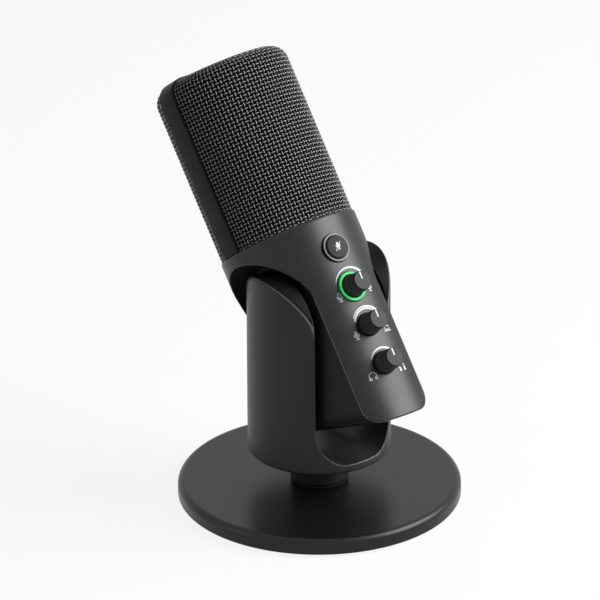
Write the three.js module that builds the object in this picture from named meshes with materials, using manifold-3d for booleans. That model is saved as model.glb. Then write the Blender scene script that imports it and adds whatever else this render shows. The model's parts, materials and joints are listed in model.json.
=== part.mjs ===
// A desktop microphone: a round woven grille and a control panel that tilt in a yoke on a round base.
// Millimetres, +Z up. The origin is on the table under the middle of the base, and the front is -Y.
// The head is drawn upright, its own origin on the tilt axis, and then leaned back to its rest tilt.
import * as THREE from "three";
import { mergeVertices } from "three/addons/utils/BufferGeometryUtils.js";
import Module from "manifold-3d";

const wasm = await Module();
wasm.setup();

// Clearances
const SEAT = 0.3; // between a piece and the seat that it rests on
const SHAFT_PLAY = 0.3; // round a pin, screw or shaft in its hole
const BUTTON_PLAY = 0.35; // round the mute button in its hole

// Facets of a full circle
const LARGE = 72; // the base
const WIDE = 60; // the head and the yoke
const MEDIUM = 32;
const SMALL = 16;
const ARC_STEPS = 4; // facets of a quarter round on an edge
const SLOT_CORNER_STEPS = 8;

// Base and foot
const BASE_RADIUS = 67.5;
const BASE_THICKNESS = 8;
const BASE_SHOULDER = 3.2; // rounding of the upper rim
const BASE_EDGE = 0.9; // rounding of the lower rim
const FOOT_INSET = 5; // of the foot from the rim
const FOOT_THICKNESS = 2;
const FOOT_PROUD = 1; // how far the foot holds the base off the table

// Screw that holds the stud to the base
const BASE_SKIN = 2.9; // metal over the sunk screw head
const BASE_SCREW_RADIUS = 2.5;
const BASE_SCREW_HEAD_RADIUS = 4.6;
const BASE_SCREW_SOCKET_RADIUS = 2.4;
const HEAD_PLAY = 0.5; // round the sunk screw head

// Stand thread: a 3/8 inch stud, its brass insert and the neck that holds it
const STUD_RADIUS = 4.76;
const STUD_SKIN = 5.6; // metal over the screw's hole
const STUD_FLANGE_RADIUS = 10.3;
const STUD_FLANGE = 2.4;
const INSERT_WALL = 1.94;
const NECK_WALL = 3.4;
const NECK_LENGTH = 15.8;
const NECK_EDGE = 1.2;
const NECK_SKIN = 7.1; // metal over the insert's bore
const NECK_WASHER = 0.6;
const NECK_WASHER_INSET = 0.4;

// Yoke
const YOKE_EDGE = 1.6;
const YOKE_FLOOR = 4.4;
const SLOT_CORNER_WIDTH = 14;
const SLOT_CORNER_HEIGHT = 18;
const HEAD_CLEARANCE = 2; // under the head when it stands upright

// Tilt hinge, along X
const REST_TILT = THREE.MathUtils.degToRad(38.1);
const PIN_RADIUS = 3;
const PIN_SHOULDER_RADIUS = 8.5;
const PIN_SHOULDER_PROUD = 2; // beyond the side of the head
const PIN_TAIL = 0.6; // peened end inside the chassis
const FRICTION_WASHER = 0.7;
const HINGE_PLATE = 2;
const HINGE_PLATE_RIM = 0.6; // outside the screw heads
const HINGE_WALL = 1.1; // between the nut's pocket and a screw
const HINGE_SCREW_RADIUS = 1;
const HINGE_SCREW_HEAD_RADIUS = 2;
const HINGE_SCREW_HEAD = 1;
const HINGE_SCREW_REACH = 6;
const SPRING_WASHER = 0.7;
const SPRING_WASHER_INSET = 0.6;
const SPRING_WASHER_RISE = 0.5;
const NUT_RADIUS = 6.2; // to the corners
const NUT_HEIGHT = 3.2;
const NUT_PLAY = 1;

// Housing of the head
const BODY_RADIUS = 34.1;
const BODY_HALF_WIDTH = 18.7; // to the flats between the arms
const BODY_CORNER = 8;
const BODY_BOTTOM_RISE = 15; // from the front to the back
const PANEL_BELOW = 26.9; // below the bottom knob
const PANEL_ABOVE = 16.1; // above the mute button
const POCKET_FLARE = 3.7; // how much the arch over the arm grows from the flat to the outside
const SIDE_WALL = 2.4;
const FRONT_WALL = 3.6;
const COLLAR_RECESS_DEPTH = 3.2;
const CAP_SKIN = 1; // of the bottom cap over a sunk screw head
const CAP_SCREW_RADIUS = 1.2;
const CAP_SCREW_HEAD_RADIUS = 2;
const CAP_SCREW_HEAD = 1.4;
const CAP_SCREW_REACH = 8;
const PILLAR_RADIUS = 4;
const PILLAR_SINK = 0.5; // into the wall
const PILLAR_SKIN = 3.7; // over the screw's hole

// Chassis inside the housing
const CHASSIS_SHEET = 3;
const CHASSIS_BELOW = 20; // below the tilt axis
const CHASSIS_ABOVE = 24;
const BOARD_STANDOFF = 5.6; // in front of the chassis
const PORT_STANDOFF = 2.6; // behind the chassis

// Controls on the front
const TOP_KNOB_HEIGHT = 2.1; // above the tilt axis
const KNOB_GAP = 6.3; // between a light ring and the next knob
const KNOB_BASE_RADIUS = 5.6;
const KNOB_TAPER = 0.65;
const KNOB_LENGTH = 10.3;
const KNOB_LIFT = 0.5; // between the knob and the panel
const KNOB_CHAMFER = 0.35;
const KNOB_SKIN = 1.6; // between the shaft's end and the knob's face
const KNOB_RIBS = 32;
const KNOB_RIB_DEPTH = 0.35;
const KNOB_POINTER_WIDTH = 0.7;
const KNOB_POINTER_DEPTH = 0.3;
const SHAFT_RADIUS = 3;
const SHAFT_SINK = 5.5; // how deep the shaft stands in its potentiometer
const POT_WIDTH = 11;
const POT_DEPTH = 8.2;
const LIGHT_RING_GAP = 0.4; // round the knob
const LIGHT_RING_WIDTH = 1.7;
const RING_DEPTH = 1.6;
const RING_PROUD = 1; // how far a ring's flat face stands before the panel
const RING_BEVEL = 0.5;
const CONTROL_GAP = 4.8; // between the light ring and the mute ring
const MUTE_RADIUS = 5.7;
const MUTE_PROUD = 2.2;
const MUTE_DOME = 0.5;
const MUTE_FLANGE_OVERLAP = 0.95;
const MUTE_FLANGE = 1.8;
const MUTE_TRAVEL = 0.8;
const MUTE_RING_WIDTH = 1.35;
const SWITCH_WIDTH = 6;
const SWITCH_BODY = 3;
const SWITCH_PLUNGER_RADIUS = 1.7;

// Circuit boards
const BOARD = 1.6;
const MAIN_BOARD_MARGIN = 3.3; // to the side walls
const MAIN_BOARD_BELOW = 9; // below the bottom knob
const MAIN_BOARD_ABOVE = 8; // above the mute button
const PORT_BOARD_MARGIN = 5.3;
const PORT_BOARD_BELOW = 7; // below the lower socket
const PORT_BOARD_ABOVE = 7; // above the upper socket

// Sockets at the back
const JACK_DROP = 8; // below the tilt axis
const PORT_PITCH = 14;
const USB_WIDTH = 9.2;
const USB_OPENING_HEIGHT = 3.4;
const USB_SHEET = 0.35;
const USB_DEPTH = 6.5;
const USB_TONGUE_WIDTH = 6.7;
const USB_TONGUE = 0.7;
const USB_TONGUE_INSET = 1;
const JACK_BODY_WIDTH = 7.4;
const JACK_BODY_DEPTH = 7.5;
const JACK_BARREL_RADIUS = 3.4;
const JACK_BORE_RADIUS = 1.8;
const JACK_BORE_DEPTH = 9;

// Grille
const GRILLE_INSET = 0.6; // of the woven wire from the collar
const GRILLE_FILLET = 8;
const GRILLE_SHEET = 1.2; // over the woven wire's highest and lowest points
const MAIN_WIRE_PITCH = 10.5; // of the wires that stand out, which is five meshes of the weave
const MAIN_WIRE_WIDTH = 0.9;
const MAIN_WIRE_RELIEF = 0.5;
const HOOP_INSET = 0.1; // of the hoops from the face of the uprights
const BAND_HALF_WIDTH = 6.3;
const BAND_PROUD = 0.7; // beyond the woven wire
const BAND_THICKNESS = 2.4;
const FRAME_RING_RISE = 2.6; // above the wire's lower edge
const FRAME_RING_WALL = 2.4;
const FOAM_THICKNESS = 3;

// Capsule and what carries it
const HEAD_PLATE = 2;
const HEAD_SCREW_INSET = 7.7; // outside the housing's inner wall
const HEAD_SCREW_RADIUS = 1.2;
const HEAD_SCREW_HEAD_RADIUS = 2.4;
const HEAD_SCREW_HEAD = 1.2;
const HEAD_SCREW_REACH = 5;
const CAPSULE_RADIUS = 17;
const CAPSULE_THICKNESS = 9;
const CAPSULE_HEADROOM = 17.5; // from the cradle to the grille's top
const CRADLE_WALL = 2.6;
const CRADLE_WIDTH = 6.4;
const STALK_WIDTH = 8;
const STALK_HEIGHT = 30.9;

// What follows for the stand
const quarter = Math.PI / 2;
const past = 1; // how far a cutting shape runs past the face that it cuts
const baseBottom = FOOT_PROUD;
const baseTop = baseBottom + BASE_THICKNESS;
const footRadius = BASE_RADIUS - FOOT_INSET;
const footRecessTop = FOOT_THICKNESS + SEAT;
const screwHeadBottom = footRecessTop + SEAT;
const screwSinkTop = baseTop - BASE_SKIN;
const screwHeadTop = screwSinkTop - SEAT;
const flangeBottom = baseTop + SEAT;
const flangeTop = flangeBottom + STUD_FLANGE;
const neckBottom = flangeBottom + NECK_WASHER + SEAT;
const neckRadius = STUD_FLANGE_RADIUS + SEAT + NECK_WALL;
const yokeBottom = neckBottom + NECK_LENGTH;
const yokeRadius = BODY_RADIUS;
const slotFloor = yokeBottom + YOKE_FLOOR;
const neckBoreTop = slotFloor - NECK_SKIN;
const insertRadius = STUD_RADIUS + SHAFT_PLAY + INSERT_WALL;
const insertBottom = flangeTop + 2 * SEAT;
const insertTop = neckBoreTop - SEAT;
const studTop = insertTop - SEAT;
const studHoleTop = studTop - STUD_SKIN;

// What follows for the controls, heights from the tilt axis
const lightRingInner = KNOB_BASE_RADIUS + LIGHT_RING_GAP;
const lightRingOuter = lightRingInner + LIGHT_RING_WIDTH;
const muteRingInner = MUTE_RADIUS + BUTTON_PLAY;
const muteRingOuter = muteRingInner + MUTE_RING_WIDTH;
const muteFlangeRadius = muteRingInner + MUTE_FLANGE_OVERLAP;
const knobPitch = lightRingOuter + KNOB_GAP + KNOB_BASE_RADIUS;
const knobHeights = [0, 1, 2].map((row) => TOP_KNOB_HEIGHT - row * knobPitch);
const muteHeight = TOP_KNOB_HEIGHT + lightRingOuter + CONTROL_GAP + muteRingOuter;
const jackHeight = -JACK_DROP;
const usbHeight = jackHeight - PORT_PITCH;

// What follows for the housing, heights from the tilt axis
const bodyBottomFront = knobHeights[2] - PANEL_BELOW;
const bottomSlope = BODY_BOTTOM_RISE / (2 * BODY_RADIUS);
const collarTop = muteHeight + PANEL_ABOVE;
const collarRecessFloor = collarTop - COLLAR_RECESS_DEPTH;
const innerHalfWidth = BODY_HALF_WIDTH - SIDE_WALL;
const innerRadius = BODY_RADIUS - FRONT_WALL;
const pocketRadius = Math.sqrt(BODY_RADIUS ** 2 - BODY_HALF_WIDTH ** 2);
const capThickness = CAP_SCREW_HEAD + 2 * SEAT + CAP_SKIN;
const pillarHeight = CAP_SCREW_REACH + SEAT + PILLAR_SKIN;
const pillarDepth = innerRadius + PILLAR_SINK - PILLAR_RADIUS;

// What follows for the tilt hinge
const pivotHeight = slotFloor + HEAD_CLEARANCE - bodyBottomFront;
const chassisHalfWidth = innerHalfWidth - SEAT;
const shoulderEnd = BODY_HALF_WIDTH + PIN_SHOULDER_PROUD;
const slotHalfWidth = shoulderEnd + SEAT + FRICTION_WASHER + SEAT;
const armHalfDepth = Math.sqrt(yokeRadius ** 2 - slotHalfWidth ** 2);
const armTop = pivotHeight + armHalfDepth;
const plateOutside = slotHalfWidth + HINGE_PLATE;
const nutPocketRadius = NUT_RADIUS + NUT_PLAY;
const nutInside = plateOutside + 2 * SEAT + SPRING_WASHER + SPRING_WASHER_RISE;
const nutOutside = nutInside + NUT_HEIGHT;
const hingeScrewHole = HINGE_SCREW_RADIUS + SHAFT_PLAY;
const hingeScrewSink = HINGE_SCREW_HEAD_RADIUS + SEAT;
const hingeScrewOffset = nutPocketRadius + HINGE_WALL + hingeScrewHole;
const hingePlateRadius = hingeScrewOffset + hingeScrewSink + HINGE_PLATE_RIM;

// What follows for the boards, depths from the tilt axis
const potFront = Math.sqrt(innerRadius ** 2 - (POT_WIDTH / 2) ** 2) - SEAT;
const mainBoardFront = potFront - POT_DEPTH - SEAT;
const mainBoardBack = mainBoardFront - BOARD;
const jackBodyFront = Math.sqrt(innerRadius ** 2 - (JACK_BODY_WIDTH / 2) ** 2) - SEAT;
const socketBack = jackBodyFront - JACK_BODY_DEPTH;
const socketFront = BODY_RADIUS - SEAT;
const portBoardOutside = socketBack - SEAT;
const portBoardInside = portBoardOutside - BOARD;
const muteFlangeFront = Math.sqrt(innerRadius ** 2 - muteFlangeRadius ** 2) - SEAT;
const ringFloor = BODY_RADIUS - RING_DEPTH - SEAT;
const knobBase = BODY_RADIUS + KNOB_LIFT;
const shaftEnd = knobBase + KNOB_LENGTH - KNOB_SKIN - SEAT;

// What follows for the grille and the capsule, heights from the tilt axis
const headPlateBottom = collarRecessFloor + SEAT;
const headPlateTop = headPlateBottom + HEAD_PLATE;
const headScrewOffset = innerHalfWidth + HEAD_SCREW_INSET;
const cradleRadius = CAPSULE_RADIUS + SEAT + CRADLE_WALL;
const capsuleHeight = headPlateTop + STALK_HEIGHT + cradleRadius;
const grilleRadius = BODY_RADIUS - GRILLE_INSET;
const grilleBottom = collarTop + SEAT;
const grilleTop = capsuleHeight + cradleRadius + CAPSULE_HEADROOM;
const weaveSpans = 2 * Math.round((Math.PI * grilleRadius) / MAIN_WIRE_PITCH);
const bandRadius = grilleRadius + BAND_PROUD;
const bandTop = grilleTop + BAND_PROUD;
const bandFillet = GRILLE_FILLET + BAND_PROUD;
const frameRingRadius = grilleRadius - GRILLE_SHEET - SEAT;
const frameRingInner = frameRingRadius - FRAME_RING_WALL;
const frameRingTop = grilleBottom + FRAME_RING_RISE;

// Turns a closed three.js geometry into a solid that can be joined and cut.
function solidOf(geometry) {
  const bare = new THREE.BufferGeometry();
  bare.setAttribute("position", geometry.getAttribute("position"));
  bare.setIndex(geometry.index);
  const merged = mergeVertices(bare, 1e-4);
  const corners = merged.index.array;
  const kept = [];
  for (let i = 0; i < corners.length; i += 3) {
    const [a, b, c] = [corners[i], corners[i + 1], corners[i + 2]];
    if (a !== b && b !== c && a !== c) kept.push(a, b, c);
  }
  const made = (triVerts) =>
    new wasm.Manifold(
      new wasm.Mesh({
        numProp: 3,
        vertProperties: merged.attributes.position.array,
        triVerts: new Uint32Array(triVerts),
      }),
    );
  const shape = made(kept);
  return shape.volume() < 0 ? made(kept.reverse()) : shape;
}

// Points of a round edge as [radius, height] pairs, angles in degrees.
function arc(radius, height, size, from, to, steps = ARC_STEPS) {
  return Array.from({ length: steps + 1 }, (_, i) => {
    const angle = THREE.MathUtils.degToRad(from + ((to - from) * i) / steps);
    return [radius + size * Math.cos(angle), height + size * Math.sin(angle)];
  });
}

// A turned geometry about Z from the [radius, height] pairs of its closed outline.
function turnedGeometry(outline, facets) {
  const closed = [...outline, outline[0]].map(([r, z]) => new THREE.Vector2(r, z));
  return new THREE.LatheGeometry(closed, facets).rotateX(quarter);
}

const turned = (outline, facets = MEDIUM) => solidOf(turnedGeometry(outline, facets));

// The same about X, with heights away from the middle on the side that is asked for.
const turnedAlongX = (side, outline, facets = MEDIUM) =>
  solidOf(turnedGeometry(outline, facets).rotateY(side * quarter));

// The same about a line along Y at a height, with heights towards the front (-1) or back (+1).
const turnedAlongY = (side, height, outline, facets = MEDIUM) =>
  solidOf(turnedGeometry(outline, facets).rotateX(-side * quarter).translate(0, 0, height));

// Outlines for the turned shapes
const disc = (radius, from, to) => [[0, from], [radius, from], [radius, to], [0, to]];
const tube = (outer, inner, from, to) => [[inner, from], [outer, from], [outer, to], [inner, to]];

// A block between two corners.
function block([x0, y0, z0], [x1, y1, z1]) {
  const box = new THREE.BoxGeometry(x1 - x0, y1 - y0, z1 - z0);
  return solidOf(box.translate((x0 + x1) / 2, (y0 + y1) / 2, (z0 + z1) / 2));
}

// An outline of [x, z] pairs pushed along Y between two depths, rising by a slope on its way.
function prism(outline, from, to, slope = 0) {
  const shape = new THREE.Shape(outline.map(([x, z]) => new THREE.Vector2(x, z)));
  const pushed = new THREE.ExtrudeGeometry(shape, { depth: to - from, bevelEnabled: false });
  pushed.rotateX(quarter).translate(0, to - from, 0);
  pushed.applyMatrix4(new THREE.Matrix4().makeShear(0, 0, 0, slope, 0, 0));
  return solidOf(pushed.translate(0, from, 0));
}

// A flat sided slot with round ends, as an outline of [x, z] pairs about a height.
function stadium(width, height, middle) {
  const straight = (width - height) / 2;
  return [
    ...arc(straight, middle, height / 2, -90, 90, 2 * ARC_STEPS),
    ...arc(-straight, middle, height / 2, 90, 270, 2 * ARC_STEPS),
  ];
}

// A closed bell: a cylinder from a bottom up to a top with a round shoulder.
const bell = (radius, bottom, top, fillet) => [
  [0, bottom],
  [radius, bottom],
  ...arc(radius - fillet, top - fillet, fillet, 0, 90),
  [0, top],
];

// A piece with its own finish.
function piece(name, shape, color, roughness, metalness = 0) {
  const { numProp, vertProperties, triVerts } = shape.getMesh();
  const geometry = new THREE.BufferGeometry();
  geometry.setAttribute("position", new THREE.BufferAttribute(vertProperties, numProp));
  geometry.setIndex(new THREE.BufferAttribute(triVerts, 1));
  geometry.computeVertexNormals();
  const mesh = new THREE.Mesh(
    geometry,
    new THREE.MeshStandardMaterial({ color, roughness, metalness }),
  );
  mesh.name = name;
  return mesh;
}

// Finishes as [colour, roughness, metalness]
const blackPaint = [0x26272a, 0.48, 0.25];
const blackPlastic = [0x222326, 0.5, 0];
const knobPlastic = [0x1c1d1f, 0.55, 0];
const rubber = [0x161616, 0.9, 0];
const steel = [0x9a9da1, 0.35, 1];
const brass = [0xb08d4a, 0.35, 1];
const nylon = [0xd9d6cc, 0.6, 0];
const boardGreen = [0x1f4a33, 0.6, 0];
const greenLight = [0x35e36b, 0.4, 0];
const clearGrey = [0xb9c2bf, 0.4, 0];
const wire = [0x4a4b4d, 0.4, 0.8];
const foam = [0x101010, 0.95, 0];
const gold = [0xc9a64b, 0.3, 1];

// Base, foot and the screw between them
function basePlate() {
  const recessRadius = footRadius + SEAT;
  const plate = turned(
    [
      [0, footRecessTop],
      [recessRadius, footRecessTop],
      [recessRadius, baseBottom],
      ...arc(BASE_RADIUS - BASE_EDGE, baseBottom + BASE_EDGE, BASE_EDGE, -90, 0, 2),
      ...arc(BASE_RADIUS - BASE_SHOULDER, baseTop - BASE_SHOULDER, BASE_SHOULDER, 0, 90),
      [0, baseTop],
    ],
    LARGE,
  );
  const hole = turned(
    [
      [0, baseBottom],
      [BASE_SCREW_HEAD_RADIUS + HEAD_PLAY, baseBottom],
      [BASE_SCREW_HEAD_RADIUS + HEAD_PLAY, screwSinkTop],
      [BASE_SCREW_RADIUS + SHAFT_PLAY, screwSinkTop],
      [BASE_SCREW_RADIUS + SHAFT_PLAY, flangeBottom],
      [0, flangeBottom],
    ],
    SMALL,
  );
  return piece("base_plate", plate.subtract(hole), ...blackPaint);
}

function footPad() {
  return piece("foot_pad", turned(disc(footRadius, 0, FOOT_THICKNESS), LARGE), ...rubber);
}

function baseScrew() {
  const body = turned(
    [
      [0, screwHeadBottom],
      [BASE_SCREW_HEAD_RADIUS, screwHeadBottom],
      [BASE_SCREW_HEAD_RADIUS, screwHeadTop],
      [BASE_SCREW_RADIUS, screwHeadTop],
      [BASE_SCREW_RADIUS, studHoleTop - SEAT],
      [0, studHoleTop - SEAT],
    ],
    SMALL,
  );
  const socketTop = (screwHeadBottom + screwHeadTop) / 2;
  const socket = turned(disc(BASE_SCREW_SOCKET_RADIUS, screwHeadBottom - past, socketTop), 6);
  return piece("base_screw", body.subtract(socket), ...steel);
}

// Threaded stud on the base, washer and brass insert in the neck
function standStud() {
  const holeRadius = BASE_SCREW_RADIUS + SHAFT_PLAY;
  const outline = [
    [holeRadius, flangeBottom],
    [STUD_FLANGE_RADIUS, flangeBottom],
    [STUD_FLANGE_RADIUS, flangeTop],
    [STUD_RADIUS, flangeTop],
    [STUD_RADIUS, studTop],
    [0, studTop],
    [0, studHoleTop],
    [holeRadius, studHoleTop],
  ];
  return piece("stand_stud", turned(outline), ...steel);
}

function neckWasher() {
  const outline = tube(
    neckRadius - NECK_WASHER_INSET,
    STUD_FLANGE_RADIUS + SEAT,
    flangeBottom,
    flangeBottom + NECK_WASHER,
  );
  return piece("neck_washer", turned(outline), ...nylon);
}

function threadInsert() {
  const outline = tube(insertRadius, STUD_RADIUS + SHAFT_PLAY, insertBottom, insertTop);
  return piece("thread_insert", turned(outline), ...brass);
}

// Yoke: a round body with a U slot from front to back, two arms with round tops and a neck
function slotOutline() {
  const left = [];
  for (let i = 0; i <= SLOT_CORNER_STEPS; i++) {
    const angle = (quarter * i) / SLOT_CORNER_STEPS;
    left.push([
      -slotHalfWidth + SLOT_CORNER_WIDTH * (1 - Math.cos(angle)),
      slotFloor + SLOT_CORNER_HEIGHT * (1 - Math.sin(angle)),
    ]);
  }
  const right = left.map(([x, z]) => [-x, z]).reverse();
  const above = armTop + past;
  return [[-slotHalfWidth, above], ...left, ...right, [slotHalfWidth, above]];
}

function yoke() {
  const body = turned(
    [
      [0, yokeBottom],
      ...arc(yokeRadius - YOKE_EDGE, yokeBottom + YOKE_EDGE, YOKE_EDGE, -90, 0, 3),
      [yokeRadius, armTop + past],
      [0, armTop + past],
    ],
    WIDE,
  );
  const neck = turned([
    [0, neckBottom],
    ...arc(neckRadius - NECK_EDGE, neckBottom + NECK_EDGE, NECK_EDGE, -90, 0, 3),
    [neckRadius, slotFloor],
    [0, slotFloor],
  ]);
  const reach = yokeRadius + past;
  const below = block([-reach, -reach, 0], [reach, reach, pivotHeight]);
  const arches = turnedAlongX(1, disc(armHalfDepth, -reach, reach), WIDE);
  const kept = below.add(arches.translate([0, 0, pivotHeight]));
  const bore = turned([
    [0, neckBottom - past],
    [STUD_FLANGE_RADIUS + SEAT, neckBottom - past],
    [STUD_FLANGE_RADIUS + SEAT, flangeTop + SEAT],
    [insertRadius + SEAT, flangeTop + SEAT],
    [insertRadius + SEAT, neckBoreTop],
    [0, neckBoreTop],
  ]);
  const slot = prism(slotOutline(), -reach, reach);
  let made = body.intersect(kept).subtract(slot).add(neck).subtract(bore);
  for (const side of [-1, 1]) {
    const inside = slotHalfWidth - past;
    const plateFloor = plateOutside + SEAT;
    const recess = turnedAlongX(side, [
      [0, inside],
      [hingePlateRadius + SEAT, inside],
      [hingePlateRadius + SEAT, plateFloor],
      [nutPocketRadius, plateFloor],
      [nutPocketRadius, nutOutside + 2 * SEAT],
      [0, nutOutside + 2 * SEAT],
    ]);
    made = made.subtract(recess.translate([0, 0, pivotHeight]));
    for (const offset of [-hingeScrewOffset, hingeScrewOffset]) {
      const end = slotHalfWidth + SEAT + HINGE_SCREW_REACH + SEAT;
      const hole = turnedAlongX(side, disc(hingeScrewHole, inside, end), SMALL);
      made = made.subtract(hole.translate([0, 0, pivotHeight + offset]));
    }
  }
  return piece("yoke", made, ...blackPaint);
}

// Hinge pieces that stay with the yoke: cover plate, its screws and the friction washer
function hingePlate(side, name) {
  let made = turnedAlongX(
    side,
    tube(hingePlateRadius, PIN_RADIUS + SHAFT_PLAY, slotHalfWidth, plateOutside),
  );
  const sinkDepth = slotHalfWidth + HINGE_SCREW_HEAD + SEAT;
  for (const offset of [-hingeScrewOffset, hingeScrewOffset]) {
    const hole = turnedAlongX(
      side,
      [
        [0, slotHalfWidth - past],
        [hingeScrewSink, slotHalfWidth - past],
        [hingeScrewSink, sinkDepth],
        [hingeScrewHole, sinkDepth],
        [hingeScrewHole, plateOutside + past],
        [0, plateOutside + past],
      ],
      SMALL,
    );
    made = made.subtract(hole.translate([0, 0, offset]));
  }
  return piece(`hinge_plate_${name}`, made, ...blackPaint);
}

function hingeScrew(side, offset, name) {
  const seat = slotHalfWidth + HINGE_SCREW_HEAD;
  const outline = [
    [0, slotHalfWidth],
    [HINGE_SCREW_HEAD_RADIUS, slotHalfWidth],
    [HINGE_SCREW_HEAD_RADIUS, seat],
    [HINGE_SCREW_RADIUS, seat],
    [HINGE_SCREW_RADIUS, slotHalfWidth + HINGE_SCREW_REACH],
    [0, slotHalfWidth + HINGE_SCREW_REACH],
  ];
  const made = turnedAlongX(side, outline, SMALL).translate([0, 0, offset]);
  return piece(`hinge_screw_${name}`, made, ...steel);
}

function frictionWasher(side, name) {
  const inside = slotHalfWidth - SEAT - FRICTION_WASHER;
  const outline = tube(
    PIN_SHOULDER_RADIUS,
    PIN_RADIUS + SHAFT_PLAY,
    inside,
    inside + FRICTION_WASHER,
  );
  return piece(`friction_washer_${name}`, turnedAlongX(side, outline), ...nylon);
}

// Hinge pieces that turn with the head: stepped pin, spring washer and nut
function hingePin(side, name) {
  const tail = chassisHalfWidth - CHASSIS_SHEET - PIN_TAIL;
  const shoulder = chassisHalfWidth + SEAT;
  const outline = [
    [0, tail],
    [PIN_RADIUS, tail],
    [PIN_RADIUS, shoulder],
    [PIN_SHOULDER_RADIUS, shoulder],
    [PIN_SHOULDER_RADIUS, shoulderEnd],
    [PIN_RADIUS, shoulderEnd],
    [PIN_RADIUS, nutOutside + SEAT],
    [0, nutOutside + SEAT],
  ];
  return piece(`hinge_pin_${name}`, turnedAlongX(side, outline), ...steel);
}

function springWasher(side, name) {
  const hole = PIN_RADIUS + SHAFT_PLAY;
  const radius = nutPocketRadius - SPRING_WASHER_INSET;
  const near = plateOutside + SEAT;
  const outline = [
    [hole, near + SPRING_WASHER_RISE],
    [radius, near],
    [radius, near + SPRING_WASHER],
    [hole, near + SPRING_WASHER_RISE + SPRING_WASHER],
  ];
  return piece(`spring_washer_${name}`, turnedAlongX(side, outline, SMALL), ...steel);
}

function hingeNut(side, name) {
  const body = turnedAlongX(side, disc(NUT_RADIUS, nutInside, nutOutside), 6);
  const hole = turnedAlongX(
    side,
    disc(PIN_RADIUS + SHAFT_PLAY, nutInside - past, nutOutside + past),
    SMALL,
  );
  return piece(`hinge_nut_${name}`, body.subtract(hole), ...steel);
}

// Housing of the head: the round body between the arms and the collar above them
function housingOutline() {
  const wide = BODY_RADIUS + past;
  const straight = BODY_HALF_WIDTH - BODY_CORNER;
  const middle = bodyBottomFront + BODY_CORNER;
  const step = bodyBottomFront / 2;
  const above = collarTop + past;
  return [
    [-wide, above],
    [-wide, step],
    [-BODY_HALF_WIDTH, step],
    ...arc(-straight, middle, BODY_CORNER, 180, 270),
    ...arc(straight, middle, BODY_CORNER, 270, 360),
    [BODY_HALF_WIDTH, step],
    [wide, step],
    [wide, above],
  ];
}

const housingBlank = () => {
  const low = bodyBottomFront - past;
  const round = turned(disc(BODY_RADIUS, low, collarTop), WIDE);
  return round.intersect(prism(housingOutline(), -BODY_RADIUS, BODY_RADIUS, bottomSlope));
};

// The arch over an arm of the yoke: a cone about the tilt axis that grows towards the outside.
function pocketArch(side) {
  const reach = BODY_RADIUS + past;
  const flare = (POCKET_FLARE * (reach - BODY_HALF_WIDTH)) / (BODY_RADIUS - BODY_HALF_WIDTH);
  const outline = [
    [0, BODY_HALF_WIDTH],
    [pocketRadius, BODY_HALF_WIDTH],
    [pocketRadius + flare, reach],
    [0, reach],
  ];
  return turnedAlongX(side, outline, WIDE);
}

// The bottom rises towards the back: the height of its lowest line at a depth.
const bottomAt = (depth) => bodyBottomFront + (depth + BODY_RADIUS) * bottomSlope;

// The space inside the housing, less a margin, open at the bottom.
function cavity(margin, bottom, top) {
  const half = innerHalfWidth - margin;
  const deep = innerRadius - margin;
  const round = turned(disc(deep, bottom, top), WIDE);
  return round.intersect(block([-half, -deep, bottom], [half, deep, top]));
}

function bodyHousing() {
  const low = bodyBottomFront - past;
  let made = housingBlank();
  for (const side of [-1, 1]) {
    const far = side * (BODY_RADIUS + past);
    const near = side * BODY_HALF_WIDTH;
    const below = block(
      [Math.min(near, far), -BODY_RADIUS - past, low],
      [Math.max(near, far), BODY_RADIUS + past, 0],
    );
    made = made.subtract(below.add(pocketArch(side)));
  }
  made = made.subtract(cavity(0, low, collarTop + past));
  const recessRadius = frameRingRadius + SEAT;
  made = made.subtract(turned(disc(recessRadius, collarRecessFloor, collarTop + past), WIDE));
  for (const depth of [-pillarDepth, pillarDepth]) {
    made = made.add(capPillar(depth));
  }
  for (const side of [-1, 1]) {
    made = made.subtract(
      turnedAlongX(side, disc(PIN_SHOULDER_RADIUS + SHAFT_PLAY, 0, BODY_RADIUS)),
    );
    const screwHole = turned(
      disc(
        HEAD_SCREW_RADIUS + SHAFT_PLAY,
        headPlateTop - HEAD_SCREW_REACH - SEAT,
        collarTop,
      ),
      SMALL,
    );
    made = made.subtract(screwHole.translate([side * headScrewOffset, 0, 0]));
  }
  for (const hole of [...panelHoles(), ...socketHoles()]) {
    made = made.subtract(hole);
  }
  return piece("body_housing", made, ...blackPlastic);
}

// Holes for the knobs' shafts, the light ring, the mute button and its ring
function panelHoles() {
  const shell = turned(disc(ringFloor, -BODY_RADIUS, collarTop), WIDE);
  const shafts = knobHeights.map((height) =>
    turnedAlongY(-1, height, disc(SHAFT_RADIUS + SHAFT_PLAY, 0, BODY_RADIUS + past), SMALL),
  );
  const outside = BODY_RADIUS + past;
  const groove = turnedAlongY(
    -1,
    TOP_KNOB_HEIGHT,
    tube(lightRingOuter + SEAT, lightRingInner - SEAT, 0, outside),
  ).subtract(shell);
  const ringSeat = turnedAlongY(
    -1,
    muteHeight,
    disc(muteRingOuter + SEAT, 0, outside),
  ).subtract(shell);
  const button = turnedAlongY(-1, muteHeight, disc(muteRingInner, 0, outside));
  return [...shafts, groove, ringSeat, button];
}

// Holes for the sockets at the back
function socketHoles() {
  const play = 2 * SEAT;
  const usb = stadium(USB_WIDTH + play, USB_OPENING_HEIGHT + play, usbHeight);
  return [
    prism(usb, 0, BODY_RADIUS + past),
    turnedAlongY(1, jackHeight, disc(JACK_BARREL_RADIUS + SEAT, 0, BODY_RADIUS + past)),
  ];
}

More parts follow.
